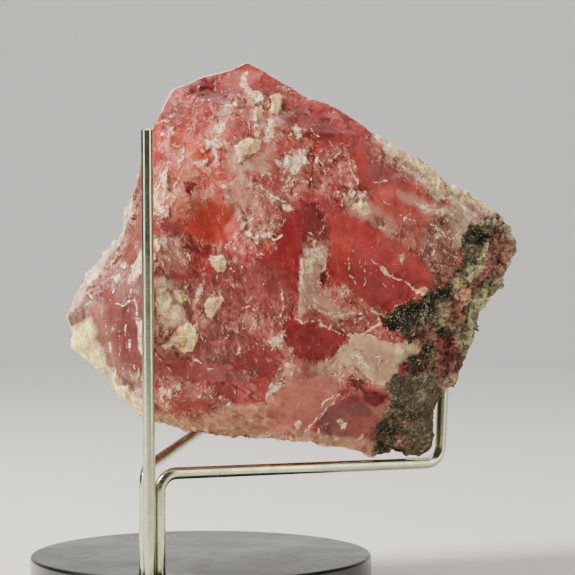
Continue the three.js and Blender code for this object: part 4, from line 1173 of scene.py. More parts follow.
    def matrix(self, s: StoneShader, shade: Socket) -> Socket:
        """The matrix: knobs of rock, quartz and rust, green-black more often low between them, with painted
        shade in the crevices and painted light on the knobs' tops.

        Args:
            s: the stone's node tree.
            shade: one random number for each grain.

        Returns:
            The matrix's colour.
        """
        here = s.here
        height = s.layer("knob")
        lumps = s.ramp(s.noise(here, 2.6, 5, 0.72), 0.4, 0.6)
        rock = s.mix(lumps, s.tint, s.mix(0.35, s.tint, self.rock))
        rock = s.mix(s.ramp(s.noise(here, 1.2, 4, 0.7), 0.55, 0.66, 0, 0.6), rock, self.rock_pale)
        rock = s.mix(s.ramp(s.noise(here, 1.6, 4, 0.7, 0.5), 0.58, 0.68, 0, 0.5), rock, self.rock_pink)
        rock = s.mix(s.ramp(s.noise(here, 1.4, 4, 0.7, 0.8), 0.61, 0.68, 0, 0.6), rock, self.rock_rust)
        # Painted light and shade: darker low in the crevices, lighter on the knobs' tops.
        rock = s.scaled(rock, s.times(s.ramp(shade, 0, 1, 0.5, 1.35), s.ramp(height, 0.1, 0.8, 0.45, 1.2)))
        holes = s.sum(s.noise(here, 1.1, 4, 0.75), s.swing(height, -0.16))
        holes = s.times(s.ramp(holes, 0.6, 0.68, 0, 0.85), s.uneven)
        return s.mix(holes, rock, self.green_black)

    def chlorite(self, s: StoneShader, colour: Socket) -> tuple[Socket, Socket]:
        """Grainy green-black chlorite with specks of moss and rust, and pale specks that are painted glints.

        Args:
            s: the stone's node tree.
            colour: the colour under it.

        Returns:
            The colour with it, and how much of it is there.
        """
        here = s.here
        edge = s.sum(s.layer("chlorite"), s.sum(s.swing(s.wobble, 4.4), s.swing(s.sugar, 2.6)))
        dark = s.ramp(edge, 0.3, -0.5, 0, 0.96)
        tone = s.mix(s.ramp(s.noise(here, 0.8, 4, 0.75), 0.52, 0.62), self.green_black, self.moss)
        tone = s.mix(s.ramp(s.noise(here, 1.2, 4, 0.75), 0.6, 0.66, 0, 0.8), tone, self.rock_rust)
        # Pale specks: painted glints.
        specks = s.sum(s.noise(here, 0.4, 3, 0.7), s.times(s.noise(here, 2.4, 3, 0.6), 0.5))
        tone = s.mix(s.ramp(specks, 0.83, 0.9, 0, 0.9), tone, self.rock_pale)
        return s.mix(dark, colour, tone), dark

    def facets(self, s: StoneShader, grains: Socket, crusted: Socket) -> Socket:
        """Slants each cleavage plane a little, and adds fine relief.

        Args:
            s: the stone's node tree.
            grains: relief of the matrix's grains.
            crusted: how much crust there is.

        Returns:
            The normal.
        """
        tilts = s.sum_places(s.spread(s.wide_planes.outputs["Color"], 0.28),
                             s.spread(s.small_planes.outputs["Color"], 0.3))
        tilts = s.scaled(tilts, s.sum(s.ramp(s.cloudy, 0, 1, 0.2, 1), crusted))
        facing = s.add("NewGeometry").outputs["Normal"]
        tilted = s.add("VectorMath", {0: s.sum_places(facing, tilts)}, operation="NORMALIZE").outputs[0]
        relief = s.sum(s.times(s.noise(s.here, 0.8, 4, 0.6), 0.5), grains)
        return s.bump(relief, 0.5, 0.5, tilted)


@dataclass(frozen=True)
class SteelFinish:
    """Polished steel rod with drawing lines and a little haze."""

    tone: Colour = srgb(206, 213, 178)
    haze: Colour = srgb(168, 170, 144)
    speck: Colour = srgb(90, 88, 74)

    def make(self) -> Material:
        """Builds the material.

        Returns:
            The material.
        """
        s = Shader("steel_finish")
        place = s.place()
        lines = s.noise(s.turned(place, (0, 0, 0), (6, 6, 0.12)), 1, 3, 0.6)
        smears = s.noise(place, 9, 3, 0.6, 0.8)
        specks = s.ramp(s.noise(place, 0.7, 3, 0.7), 0.66, 0.74)
        tone = s.mix(s.ramp(smears, 0.35, 0.7, 0, 0.6), self.tone, self.haze)
        tone = s.mix(s.times(specks, 0.5), tone, self.speck)
        roughness = s.sum(s.ramp(smears, 0.3, 0.7, 0.12, 0.24), s.times(lines, 0.08))
        normal = s.bump(lines, 0.12, 0.05, s.bump(s.noise(place, 3.5, 2), 0.15, 0.12))
        return s.surface({"Base Color": tone, "Metallic": 1.0, "Roughness": roughness, "Normal": normal})


@dataclass(frozen=True)
class LacquerFinish:
    """Black lacquer with dust and rub marks."""

    black: Colour = srgb(22, 22, 23)
    dust: Colour = srgb(86, 84, 80)

    def make(self) -> Material:
        """Builds the material.

        Returns:
            The material.
        """
        s = Shader("lacquer_finish")
        place = s.place()
        clouds = s.noise(place, 16, 4, 0.6, 0.5)
        specks = s.ramp(s.noise(place, 0.5, 2, 0.6), 0.68, 0.76)
        rubs = s.noise(s.turned(place, (0, 0, 28), (0.2, 5, 1)), 1, 3, 0.6)
        tone = s.mix(s.times(s.ramp(clouds, 0.4, 0.8), 0.05), self.black, self.dust)
        tone = s.mix(s.times(specks, 0.35), tone, self.dust)
        roughness = s.sum(s.ramp(clouds, 0.35, 0.7, 0.2, 0.36), s.times(s.ramp(rubs, 0.55, 0.7), 0.12))
        normal = s.bump(s.noise(place, 1.4, 3), 0.06, 0.1)
        return s.surface({
            "Base Color": tone,
            "Roughness": roughness,
            "Coat Weight": 0.5,
            "Coat Roughness": 0.12,
            "Normal": normal,
        })


@dataclass(frozen=True)
class StudioFinish:
    """Plain pale matt studio floor."""

    pale: Colour = srgb(226, 224, 220)
    shade: Colour = srgb(214, 212, 208)
    roughness: float = 0.85

    def make(self) -> Material:
        """Builds the material.

        Returns:
            The material.
        """
        s = Shader("studio_finish")
        clouds = s.ramp(s.noise(s.place(), 60, 3), 0.35, 0.7, 0, 0.12)
        return s.surface({"Base Color": s.mix(clouds, self.pale, self.shade), "Roughness": self.roughness})


# ---- mesh helpers

def clear_selection() -> None:
    """Leaves object mode with nothing selected."""
    if bpy.context.mode != "OBJECT":
        bpy.ops.object.mode_set(mode="OBJECT")
    bpy.ops.object.select_all(action="DESELECT")


def take_up(piece: Piece) -> None:
    """Makes one object the selected and active one.

    Args:
        piece: the object.
    """
    clear_selection()
    piece.select_set(True)
    bpy.context.view_layer.objects.active = piece


def finish_piece(piece: Piece, name: str, finish: Material, angle: float) -> None:
    """Names a piece, places it in its mesh, and shades and dresses it.

    Args:
        piece: the object.
        name: its name.
        finish: its material.
        angle: edges sharper than this many degrees stay sharp.
    """
    take_up(piece)
    bpy.ops.object.transform_apply(location=True, rotation=True, scale=True)
    bpy.ops.object.shade_smooth_by_angle(angle=math.radians(angle))
    piece.name = name
    piece.data.name = name
    piece.data.materials.clear()
    piece.data.materials.append(finish)


# ---- the stone

# How little of each layer there is on the stone's back.
SCARCITY = {
    Layer.FROST: 0.62,
    Layer.HAZE: 0.2,
    Layer.CLEAR: 0.25,
    Layer.CREAM: 0.85,
    Layer.CHLORITE: 0.95,
    Layer.PIT: 1.1,
    Layer.VEIN: 1.2,
}


@dataclass
class Stone:
    """The broken chunk of fluorite with its matrix, all sizes in millimetres."""

    # The longest edges of its mesh: on the best face, on the back, and within mark_band of a mark's edge.
    fine: float = 0.64
    coarse: float = 1.45
    marked: float = 0.36
    mark_band: float = 0.46
    split_over: float = 1.42
    front_over: float = 0.02
    reach: float = 2.5
    far: float = 9.0
    sharp_angle: float = 42
    frost_height: float = 0.1
    crust_height: float = 0.36
    streak_height: float = 0.12
    chlorite_height: float = 0.15
    pit_depth: float = 0.45
    rod_gap: float = 0.3
    chart: Chart = field(default_factory=Chart)
    finish: StoneFinish = field(default_factory=StoneFinish)
    matrix_edge: Outline = (
        (46.5, 69.3), (50, 73), (56, 76), (62, 79), (65.4, 80.6), (67.4, 84), (67.6, 88), (67, 92),
        (68.6, 94), (72, 96), (78, 98), (84, 96), (88, 84), (82, 66), (72, 46), (62, 32), (45, 32), (45, 44),
        (49, 46.4), (50, 49.4), (47.4, 53.6), (50, 56.2), (54, 55.8), (51, 58.6), (54, 61.6), (57.4, 62),
        (55, 65.4), (52, 66.6),
    )
    # One row or number for each vertex: its place, how far it belongs to the best face (0 to 1), its map
    # coordinates, the same with a ragged push, its distance to each layer's patches (negative inside),
    # and how grainy it is (0 to 1).
    points: Rows = field(init=False)
    front: Rows = field(init=False)
    flat: Rows = field(init=False)
    ragged: Rows = field(init=False)
    gaps: dict[Layer, Rows] = field(init=False)
    grain: Rows = field(init=False)

    def build(self) -> Piece:
        """Makes the stone.

        Returns:
            The finished piece, which stands for the CAD stone.
        """
        stone = self.copy_of_solid()
        self.refine(stone, self.plain_limit, 7)
        self.refine(stone, self.marked_limit, 2)
        normals = self.survey(stone)
        relief = self.relief()
        moved = self.points + normals * relief[:, None]
        stone.data.vertices.foreach_set("co", (moved * MM).astype(np.float32).ravel())
        for layer, values in self.gaps.items():
            self.carry(stone, layer.value, values)
        self.carry(stone, "grain", self.grain)
        self.carry(stone, "haziness", self.haziness())
        self.carry(stone, "knob", smooth(relief, -0.9, 0.7))
        self.carry(stone, "ridge", self.ridges(stone))
        colour = stone.data.attributes.new("tint", "FLOAT_COLOR", "POINT")
        colour.data.foreach_set("color", self.body_tint().astype(np.float32).ravel())
        stone.data.update()
        finish_piece(stone, "fluorite_chunk", self.finish.make(), self.sharp_angle)
        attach(stone, "root")
        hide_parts("fluorite")
        return stone

    def copy_of_solid(self) -> Piece:
        """Copies the CAD stone's mesh and merges its corners.

        Returns:
            The copy.
        """
        stone = bpy.data.objects.new("fluorite_chunk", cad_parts["fluorite"].data.copy())
        bpy.context.scene.collection.objects.link(stone)
        take_up(stone)
        bpy.ops.object.mode_set(mode="EDIT")
        bpy.ops.mesh.select_all(action="SELECT")
        bpy.ops.mesh.remove_doubles(threshold=1e-6)
        bpy.ops.object.mode_set(mode="OBJECT")
        for extra in list(stone.data.uv_layers):
            stone.data.uv_layers.remove(extra)
        return stone

    @staticmethod
    def read(stone: Piece) -> tuple[Rows, Rows]:
        """Reads the stone's vertices.

        Args:
            stone: the object.

        Returns:
            Rows of points in millimetres, and rows of normals.
        """
        count = len(stone.data.vertices)
        points = np.empty(count * 3)
        normals = np.empty(count * 3)
        stone.data.vertices.foreach_get("co", points)
        stone.data.vertices.foreach_get("normal", normals)
        return points.reshape(-1, 3) / MM, normals.reshape(-1, 3)

    @staticmethod
    def read_edges(stone: Piece) -> Rows:
        """Reads the stone's edges.

        Args:
            stone: the object.

        Returns:
            A row of two vertex numbers for each edge.
        """
        ends = np.empty(len(stone.data.edges) * 2, int)
        stone.data.edges.foreach_get("vertices", ends)
        return ends.reshape(-1, 2)

    def facing(self, points: Rows, normals: Rows) -> Rows:
        """Tells the best face from the back.

        Args:
            points, normals: rows of the vertices' points and normals.

        Returns:
            How far each point belongs to the best face, 0 to 1.
        """
        sight = np.array(self.chart.eye) - points
        sight /= np.linalg.norm(sight, axis=1)[:, None]
        ragged = 0.12 * Clouds(11, 3.5).at(points)
        return smooth(np.sum(normals * sight, axis=1) + ragged, -0.12, 0.1)

    def survey(self, stone: Piece) -> Rows:
        """Measures the stone's vertices against the map and its marks.

        Args:
            stone: the refined object.

        Returns:
            Rows of normals.
        """
        self.points, normals = self.read(stone)
        self.front = self.facing(self.points, normals)
        self.flat = self.chart.flatten(self.points)
        # The push makes the listed outlines look broken.
        wide = [Clouds(seed, 2.2).at(self.points) for seed in (61, 62)]
        fine = [Clouds(seed, 0.8).at(self.points) for seed in (63, 64)]
        self.ragged = self.flat + 0.45 * np.stack(wide, axis=1) + 0.22 * np.stack(fine, axis=1)
        self.gaps = {layer: self.distance(layer) for layer in Layer}
        self.grain = self.matrix()
        return normals

    def refine(self, stone: Piece, limit: Callable[[Rows, Rows], Rows],
               rounds: int) -> None:
        """Splits the long edges of the mesh until none is much over the limit.

        Args:
            stone: the object.
            limit: gives the longest edge allowed at rows of points, which face the front or not.
            rounds: how many times to split at most.
        """
        for _ in range(rounds):
            points, normals = self.read(stone)
            front = self.facing(points, normals) > self.front_over
            ends = self.read_edges(stone)
            lengths = np.linalg.norm(points[ends[:, 0]] - points[ends[:, 1]], axis=1)
            middles = points[ends].mean(axis=1)
            long = lengths > limit(middles, front[ends].any(axis=1)) * self.split_over
            if not long.any():
                return
            take_up(stone)
            bpy.ops.object.mode_set(mode="EDIT")
            bpy.ops.mesh.select_mode(type="EDGE")
            bpy.ops.mesh.select_all(action="DESELECT")
            bpy.ops.object.mode_set(mode="OBJECT")
            stone.data.edges.foreach_set("select", long)
            bpy.ops.object.mode_set(mode="EDIT")
            bpy.ops.mesh.subdivide(number_cuts=1)
            bpy.ops.mesh.select_all(action="SELECT")
            bpy.ops.mesh.quads_convert_to_tris(quad_method="SHORTEST_DIAGONAL", ngon_method="BEAUTY")
            bpy.ops.object.mode_set(mode="OBJECT")

    def plain_limit(self, _spots: Rows, front: Rows) -> Rows:
        """The longest edge allowed at each point, short on the best face."""
        return np.where(front, self.fine, self.coarse)

    def marked_limit(self, spots: Rows, front: Rows) -> Rows:
        """The longest edge allowed, shorter still near the edges of marks.

        Args:
            spots: rows of points.
            front: which of them face the front.

        Returns:
            The longest edge at each point.
        """
        flat = self.chart.flatten(spots)
        nearest = np.full(len(spots), self.far)
        for mark in MARKS:
            near, distance = self.measure(mark.path, flat, mark.half_width)
            nearest[near] = np.minimum(nearest[near], np.abs(distance))
        marked = front & (nearest < self.mark_band)
        return np.where(marked, self.marked, self.plain_limit(spots, front))

    @staticmethod
    def measure(path: Path, flat: Rows, half_width: float = 0.0,
                margin: float = 2.6) -> tuple[Rows, Rows]:
        """Signed distance to a path, for the spots near it only.

        Args:
            path: outline or line.
            flat: rows of map coordinates.
            half_width: half width of a line.
            margin: spots further than this outside the path's box are left out.

        Returns:
            Numbers of the near spots, and their distance, negative inside.
        """
        corners = np.array(path.points, float)
        inside = (flat > corners.min(axis=0) - margin) & (flat < corners.max(axis=0) + margin)
        near = np.flatnonzero(inside.all(axis=1))
        distance, along = path.nearest(flat[near])
        if path.closed:
            return near, distance
        return near, distance - 0.8 * half_width * np.sqrt(np.sin(np.pi * np.clip(along, 0.02, 0.98)))

    def distance(self, layer: Layer) -> Rows:
        """Signed distance to the nearest patch of a layer: marks on the best face, lumps on the back.

        Args:
            layer: which deposit.

        Returns:
            The distance of each vertex, negative inside, never over the reach.
        """
        flat = self.flat if layer is Layer.CREAM else self.ragged
        here = np.full(len(flat), self.reach)
        for mark in MARKS:
            if mark.layer is layer:
                near, distance = self.measure(mark.path, flat, mark.half_width)
                here[near] = np.minimum(here[near], distance)
        seed = len(layer.value)
        lumps = Clouds(20 + seed, 9).at(self.points) + 0.5 * Clouds(30 + seed, 3.2).at(self.points)
        there = np.clip((SCARCITY[layer] - lumps) * 6, -self.reach, self.reach)
        return here * self.front + there * (1 - self.front)

    def matrix(self) -> Rows:
        """Tells the matrix at the right-hand end from the fluorite.

        Returns:
            How grainy the stone is at each vertex, 0 to 1.
        """
        points, front = self.points, self.front
        near, edge = self.measure(Path(self.matrix_edge), self.flat)
        here = np.full(len(points), 3.0)
        here[near] = edge
        there = 51 + 0.4 * (points[:, 2] - 50) - points[:, 0]
        there += 6 * Clouds(42, 17).at(points) + 3 * Clouds(43, 7).at(points)
        ragged = 1.2 * Clouds(41, 4).at(points)
        return smooth(-(here * front + there * (1 - front)) + ragged, -0.9, 0.9)

    def haziness(self) -> Rows:
        """Clouds the clear body, most of all near frosting.

        Returns:
            How hazy each vertex is, 0 to 1.
        """
        lumps = 0.5 + 0.6 * Clouds(51, 14).at(self.points) + 0.4 * Clouds(52, 5).at(self.points)
        near_frost = smooth(self.gaps[Layer.FROST], 2.4, 0.2)
        return np.clip(0.35 * lumps + 0.5 * near_frost + 0.2, 0, 1) * (1 - self.grain)

    def painted(self, ground: Colour, tints: tuple[Tint, ...]) -> Rows:
        """Lays tints over a ground colour, in their order.

        Args:
            ground: the colour under them.
            tints: the tints.

        Returns:
            Rows of linear colours.
        """
        colours = np.tile(ground, (len(self.points), 1))
        for tint in tints:
            near, distance = self.measure(Path(tint.points), self.ragged, margin=tint.feather + 1)
            share = smooth(distance, tint.feather, -tint.feather) * tint.strength
            colours[near] += share[:, None] * (np.array(tint.colour) - colours[near])
        return colours

    def body_tint(self) -> Rows:
        """Colours the stone's body: tints on the best face and the matrix, glows on the back.

        Returns:
            Rows of linear colours.
        """
        back = np.tile(BODY_RED, (len(self.points), 1))
        for glow in GLOWS:
            gap = np.linalg.norm(self.points - glow.centre, axis=1)
            share = smooth(gap, glow.radius, glow.radius * 0.35) * glow.strength
            back += share[:, None] * (np.array(glow.colour) - back)
        front = self.front[:, None]
        colour = self.painted(BODY_RED, TINTS) * front + back * (1 - front)
        return colour + self.grain[:, None] * (self.painted(OLIVE_GREY, ROCK_TINTS) - colour)

    def relief(self) -> Rows:
        """Raises crusts and knobs, and breaks the faces into chips and hollows.

        Returns:
            How far each vertex moves outwards.
        """
        points, gaps = self.points, self.gaps
        squeezed = points * (1, 0.8, 0.55)
        _, offset, traits = Chips(71, 4.6).nearest(Clouds(72, 3).push(squeezed, 0.4))
        broad = 0.16 * traits[:, 0] + 0.2 * np.sum(offset * traits[:, 1:], axis=1)
        _, offset, traits = Chips(73, 1.6).nearest(squeezed)
        small = 0.13 * traits[:, 0] + 0.32 * np.sum(offset * traits[:, 1:], axis=1)
        rough = smooth(Clouds(74, 11).at(points) - 0.35 * gaps[Layer.HAZE], -0.5, 0.5)
        rough *= smooth(gaps[Layer.CLEAR], -1.2, 1.0)
        move = (0.3 + 0.7 * rough) * broad + (0.2 + 0.8 * rough) * small
        crisp = Clouds(75, 0.9).at(points)
        lumpy = 1 + 0.6 * crisp + 0.9 * Clouds(80, 2.4).at(points)
        move += self.frost_height * smooth(gaps[Layer.FROST], 0.25, -0.5) * (1 + 0.8 * crisp)
        move += self.crust_height * smooth(gaps[Layer.CREAM], 0.15, -0.3) * lumpy
        move += self.streak_height * smooth(gaps[Layer.VEIN], 0.12, -0.15)
        move -= self.pit_depth * smooth(gaps[Layer.PIT], 0.1, -0.8)
        move += self.grain * (self.knobs() - move)
        move += self.chlorite_height * smooth(gaps[Layer.CHLORITE], 0.3, -0.6) * crisp
        return self.clear_of_rods(move)

    def knobs(self) -> Rows:
        """The matrix's relief: knobs with crevices between them.

        Returns:
            The move of each vertex, as it would be all over the stone.
        """
        rim, _, traits = Chips(76, 2.1).nearest(Clouds(77, 2).push(self.points, 0.5))
        knobs = 0.5 * np.clip(rim, 0, 0.9) + 0.45 * traits[:, 0] - 0.4
        knobs += 0.35 * Clouds(78, 1.3).at(self.points) + 0.4 * Clouds(79, 4.2).at(self.points)
        return knobs * (0.3 + 0.7 * smooth(self.gaps[Layer.CLEAR], -1.0, 0.6))

    def clear_of_rods(self, move: Rows) -> Rows:
        """Holds the relief back where a rod is close.

        Args:
            move: the move of each vertex.

        Returns:
            The move of each vertex, small enough to leave the gap.
        """
        for rod in RODS:
            for start, end in zip(rod.corners, rod.corners[1:]):
                step = np.array(end - start)
                offset = self.points - np.array(start)
                t = np.clip(offset @ step / (step @ step), 0, 1)
                room = np.linalg.norm(offset - t[:, None] * step, axis=1) - rod.radius - self.rod_gap
                move = np.minimum(move, np.where(room < 2, room, self.far))
        return move

    def ridges(self, stone: Piece) -> Rows:
        """Finds the ridges of the stone.

        Args:
            stone: the object, with its relief.

        Returns:
            How sharply the stone juts out at each point, 0 to 1, smoothed over the points next to it.
        """
        points, normals = self.read(stone)
        ends = self.read_edges(stone)
        one, other = ends.T
        step = points[other] - points[one]
        length = np.maximum(np.linalg.norm(step, axis=1), 0.01)
        count = np.bincount(ends.ravel(), minlength=len(points))
        jut = np.zeros(len(points))
        np.add.at(jut, one, -np.sum(step * normals[one], axis=1) / length)
        np.add.at(jut, other, np.sum(step * normals[other], axis=1) / length)
        jut /= count
        for _ in range(2):
            around = np.bincount(one, jut[other], len(points)) + np.bincount(other, jut[one], len(points))
            jut = 0.5 * jut + 0.5 * around / count
        return smooth(jut, 0.03, 0.22)

    @staticmethod
    def carry(stone: Piece, name: str, values: Rows) -> None:
        """Writes a number per vertex to the mesh."""
        layer = stone.data.attributes.new(name, "FLOAT", "POINT")
        layer.data.foreach_set("value", values.astype(np.float32))


# ---- the stand

@dataclass(frozen=True)
class Rod:
    """One steel rod, as the corners of its bent centre line, in millimetres."""

    name: str
    node: str
    corners: tuple[Vector, ...]
    radius: float = 1.5
    bend_radius: float = 4.5
    bend_steps: int = 14
    sides: int = 48
    tip_bevel: float = 0.4
    dish_rim: float = 0.35
    dish_depth: float = 0.06
    sharp_angle: float = 32

    def build(self, finish: Material) -> Piece:
        """Makes the rod.

        Args:
            finish: the steel's material.

        Returns:
            The finished piece, which stands for the CAD rod.
        """
        clear_selection()
        foot = self.corners[0]
        bpy.ops.mesh.primitive_circle_add(vertices=self.sides, radius=self.radius * MM, fill_type="NGON",
                                          location=foot * MM)
        rod = bpy.context.active_object
        bpy.ops.object.transform_apply(location=True)
        bpy.ops.object.mode_set(mode="EDIT")
        bpy.ops.mesh.select_mode(type="FACE")
        bpy.ops.mesh.select_all(action="SELECT")
        here = foot
        for before, corner, after in zip(self.corners, self.corners[1:], self.corners[2:]):
            here = self.bend(here, before, corner, after)
        last = (self.corners[-1] - self.corners[-2]).normalized()
        self.extrude(self.corners[-1] - last * self.tip_bevel - here)
        self.extrude(last * self.tip_bevel)
        narrow = 1 - self.tip_bevel / self.radius
        bpy.ops.transform.resize(value=(narrow, narrow, narrow), center_override=self.corners[-1] * MM)
        self.dish_tip(last)
        bpy.ops.mesh.select_all(action="SELECT")
        bpy.ops.mesh.remove_doubles(threshold=1e-7)
        bpy.ops.mesh.normals_make_consistent(inside=False)
        bpy.ops.object.mode_set(mode="OBJECT")
        finish_piece(rod, self.name, finish, self.sharp_angle)
        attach(rod, "root")
        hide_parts(self.node)
        return rod

    @staticmethod
    def extrude(move: Vector) -> None:
        """Extrudes the selected end face."""
        bpy.ops.mesh.extrude_region_move(TRANSFORM_OT_translate={"value": move * MM})

    def bend(self, here: Vector, before: Vector, corner: Vector, after: Vector) -> Vector:
        """Runs the rod to a corner and round it.

        Args:
            here: middle of the rod's end so far.
            before, corner, after: three corners of the centre line.

        Returns:
            The middle of the end after the bend.
        """
        inward = (corner - before).normalized()
        outward = (after - corner).normalized()
        turn = inward.angle(outward)
        axis = inward.cross(outward).normalized()
        start = corner - inward * self.bend_radius * math.tan(turn / 2)
        centre = start + axis.cross(inward) * self.bend_radius
        self.extrude(start - here)
        # The spin operator turns the other way round the axis.
        bpy.ops.mesh.spin(steps=self.bend_steps, angle=-turn, center=centre * MM, axis=axis)
        return centre + Matrix.Rotation(turn, 3, axis) @ (start - centre)

    def dish_tip(self, direction: Vector) -> None:
        """Insets the cut end and sinks its middle a little."""
        bpy.ops.mesh.inset(thickness=self.dish_rim * MM, depth=0)
        bpy.ops.transform.translate(value=-direction * self.dish_depth * MM)


# Where the rods stand: clear of their sockets' floors, the post in front, the arms side by side.
FOOT_HEIGHT = 2.3
POST_Y = -39
ARM_FEET = (-10.4, -35.95)
ARM_SPACING = 3.5


def arm_corners(side: int, height: float, bearing: float, rise: float, reach: float, top: float,
                lean: float) -> tuple[Vector, ...]:
    """Corners of a bent arm.

    Args:
        side: -1 for the left of the pair of feet, 1 for the right.
        height: of the elbow.
        bearing: of the arm from +X towards +Y, in degrees.
        rise: of the arm in degrees.
        reach: of the arm.
        top: of the hook.
        lean: of the hook outwards, in degrees.

    Returns:
        Foot, elbow, heel and tip.
    """
    foot = Vector((ARM_FEET[0] + side * ARM_SPACING / 2, ARM_FEET[1], FOOT_HEIGHT))
    elbow = Vector((foot.x, foot.y, height))
    outward = Vector((math.cos(math.radians(bearing)), math.sin(math.radians(bearing)), 0))
    heel = elbow + outward * reach
    heel.z += reach * math.tan(math.radians(rise))
    tip = heel + outward * (top - heel.z) * math.tan(math.radians(lean))
    tip.z = top
    return foot, elbow, heel, tip


RODS = (
    Rod("steel_rest_post", "rest_post", (Vector((-10.8, POST_Y, FOOT_HEIGHT)), Vector((-11.5, POST_Y, 117)))),
    Rod("steel_right_arm", "right_arm", arm_corners(1, 32.5, 30, -0.8, 83.5, 55, 3)),
    Rod("steel_left_arm", "left_arm", arm_corners(-1, 33.7, 78, 5.7, 62, 56, 0)),
)


@dataclass
class Base:
    """The round black disc with a blind socket for each rod, in millimetres."""

    radius: float = 45
    height: float = 8
    bevel: float = 0.8
    bevel_steps: int = 5
    sides: int = 128
    socket_radius: float = 1.8
    socket_floor: float = 2
    socket_sides: int = 48
    sharp_angle: float = 32
    finish: LacquerFinish = field(default_factory=LacquerFinish)

    def build(self) -> Piece:
        """Makes the disc.

        Returns:
            The finished piece, which stands for the CAD disc.
        """
        clear_selection()
        bpy.ops.mesh.primitive_cylinder_add(vertices=self.sides, radius=self.radius * MM,
                                            depth=self.height * MM, location=(0, 0, self.height / 2 * MM))
        disc = bpy.context.active_object
        bpy.ops.object.transform_apply(location=True)
        self.round_rims(disc)
        for rod in RODS:
            self.drill(disc, rod.corners[0])
        finish_piece(disc, "base_disc", self.finish.make(), self.sharp_angle)
        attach(disc, "root")
        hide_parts("base")
        return disc

    def round_rims(self, disc: Piece) -> None:
        """Rounds both rims.

        Args:
            disc: the object.
        """
        bpy.ops.object.mode_set(mode="EDIT")
        mesh = bmesh.from_edit_mesh(disc.data)
        for edge in mesh.edges:
            edge.select_set(abs(edge.verts[0].co.z - edge.verts[1].co.z) < 1e-6)
        bmesh.update_edit_mesh(disc.data)
        bpy.ops.mesh.bevel(offset=self.bevel * MM, segments=self.bevel_steps, profile=0.5, affect="EDGES")
        bpy.ops.object.mode_set(mode="OBJECT")

    def drill(self, disc: Piece, foot: Vector) -> None:
        """Cuts one socket.

        Args:
            disc: the object.
            foot: where the rod stands.
        """
        clear_selection()
        depth = self.height - self.socket_floor
        bpy.ops.mesh.primitive_cylinder_add(vertices=self.socket_sides, radius=self.socket_radius * MM,
                                            depth=2 * depth * MM,
                                            location=(foot.x * MM, foot.y * MM, self.height * MM))
        drill = bpy.context.active_object
        bpy.ops.object.transform_apply(location=True)
        take_up(disc)
        cut = disc.modifiers.new("socket", "BOOLEAN")
        cut.operation = "DIFFERENCE"
        cut.object = drill
        cut.solver = "EXACT"
        bpy.ops.object.modifier_apply(modifier=cut.name)
        bpy.data.objects.remove(drill)


# ---- studio

@dataclass(frozen=True)
class Softbox:
    """One soft light, in metres and watts, hung at a place and facing a point."""

    name: str
    place: Triple
    size: tuple[float, float]
    power: float
    colour: Triple = (1.0, 0.94, 0.85)
    aim: Triple = (0.02, 0, 0.08)

    def hang(self) -> Piece:
        """Hangs the light.

        Returns:
            The light.
        """
        light = bpy.data.lights.new(self.name, "AREA")
        light.shape = "RECTANGLE"
        light.size, light.size_y = self.size
        light.energy = self.power
        light.color = self.colour
        lamp = bpy.data.objects.new(self.name, light)
        lamp.location = self.place
        lamp.rotation_euler = (Vector(self.aim) - Vector(self.place)).to_track_quat("-Z", "Y").to_euler()
        bpy.context.scene.collection.objects.link(lamp)
        return lamp


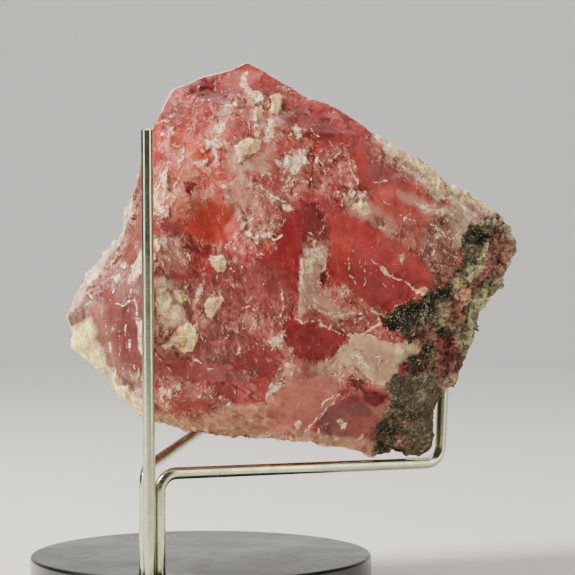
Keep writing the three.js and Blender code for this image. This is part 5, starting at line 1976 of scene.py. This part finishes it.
@dataclass
class Studio:
    """Pale floor that curves up into a backdrop, soft lights and the camera, in metres."""

    half_width: float = 6.0
    front: float = -6.0
    back: float = 1.4
    curve: float = 0.7
    curve_steps: int = 16
    top: float = 2.6
    sharp_angle: float = 40
    room: Colour = (0.31, 0.30, 0.29, 1)
    room_strength: float = 0.22
    lens: float = 115.45
    sensor: float = 36
    nearest: float = 0.05
    furthest: float = 20
    eye: Triple = (0.0228, -0.489, 0.0783)
    softboxes: tuple[Softbox, ...] = (
        Softbox("key_softbox", (-0.55, -0.22, 0.62), (0.26, 0.26), 15),
        Softbox("left_softbox", (-0.75, -0.45, 0.3), (0.3, 0.9), 3),
        Softbox("right_softbox", (0.75, -0.4, 0.35), (0.3, 0.9), 3),
        Softbox("top_softbox", (0.1, 0.15, 0.9), (0.9, 0.6), 4.4),
        Softbox("backdrop_light", (0.0, 0.9, 1.6), (2.2, 0.5), 22, (1.0, 1.0, 1.0), (0, 1.9, 0.4)),
    )
    floor_finish: StudioFinish = field(default_factory=StudioFinish)

    def floor(self) -> Piece:
        """Makes the floor and backdrop in one sweep.

        Returns:
            The sweep.
        """
        clear_selection()
        bpy.ops.mesh.primitive_plane_add(size=1)
        floor = bpy.context.active_object
        bpy.ops.object.mode_set(mode="EDIT")
        mesh = bmesh.from_edit_mesh(floor.data)
        for vertex in mesh.verts:
            vertex.co.x = math.copysign(self.half_width, vertex.co.x)
            vertex.co.y = self.back if vertex.co.y > 0 else self.front
        for edge in mesh.edges:
            edge.select_set(all(v.co.y == self.back for v in edge.verts))
        bmesh.update_edit_mesh(floor.data)
        bpy.ops.mesh.select_mode(type="EDGE")
        bpy.ops.mesh.spin(steps=self.curve_steps, angle=-math.pi / 2, center=(0, self.back, self.curve),
                          axis=(1, 0, 0))
        bpy.ops.mesh.extrude_region_move(TRANSFORM_OT_translate={"value": (0, 0, self.top - self.curve)})
        bpy.ops.mesh.select_all(action="SELECT")
        bpy.ops.mesh.remove_doubles(threshold=1e-6)
        bpy.ops.mesh.normals_make_consistent(inside=False)
        bpy.ops.object.mode_set(mode="OBJECT")
        finish_piece(floor, "studio_floor", self.floor_finish.make(), self.sharp_angle)
        return floor

    def lights(self) -> None:
        """Hangs the lights and dims the room."""
        for softbox in self.softboxes:
            softbox.hang()
        world = bpy.data.worlds.new("room")
        world.use_nodes = True
        background = world.node_tree.nodes["Background"]
        background.inputs["Color"].default_value = self.room
        background.inputs["Strength"].default_value = self.room_strength
        bpy.context.scene.world = world

    def camera(self) -> Piece:
        """Sets up the camera, level and square to the best face.

        Returns:
            The camera.
        """
        camera = bpy.data.cameras.new("camera")
        camera.lens = self.lens
        camera.sensor_width = self.sensor
        camera.clip_start = self.nearest
        camera.clip_end = self.furthest
        stand = bpy.data.objects.new("camera", camera)
        stand.location = self.eye
        stand.rotation_euler = (math.radians(90), 0, 0)
        bpy.context.scene.collection.objects.link(stand)
        bpy.context.scene.camera = stand
        return stand


def report(piece: Piece) -> None:
    """Tells how many faces a piece has."""
    LOG.info("%s: %d faces", piece.name, len(piece.data.polygons))


def main() -> None:
    """Builds the specimen, its stand and the studio."""
    logging.basicConfig(level=logging.INFO, format="%(name)s: %(message)s")
    studio = Studio()
    studio.camera()
    report(Stone().build())
    steel = SteelFinish().make()
    for rod in RODS:
        report(rod.build(steel))
    report(Base().build())
    report(studio.floor())
    studio.lights()


if __name__ == "__main__":
    main()
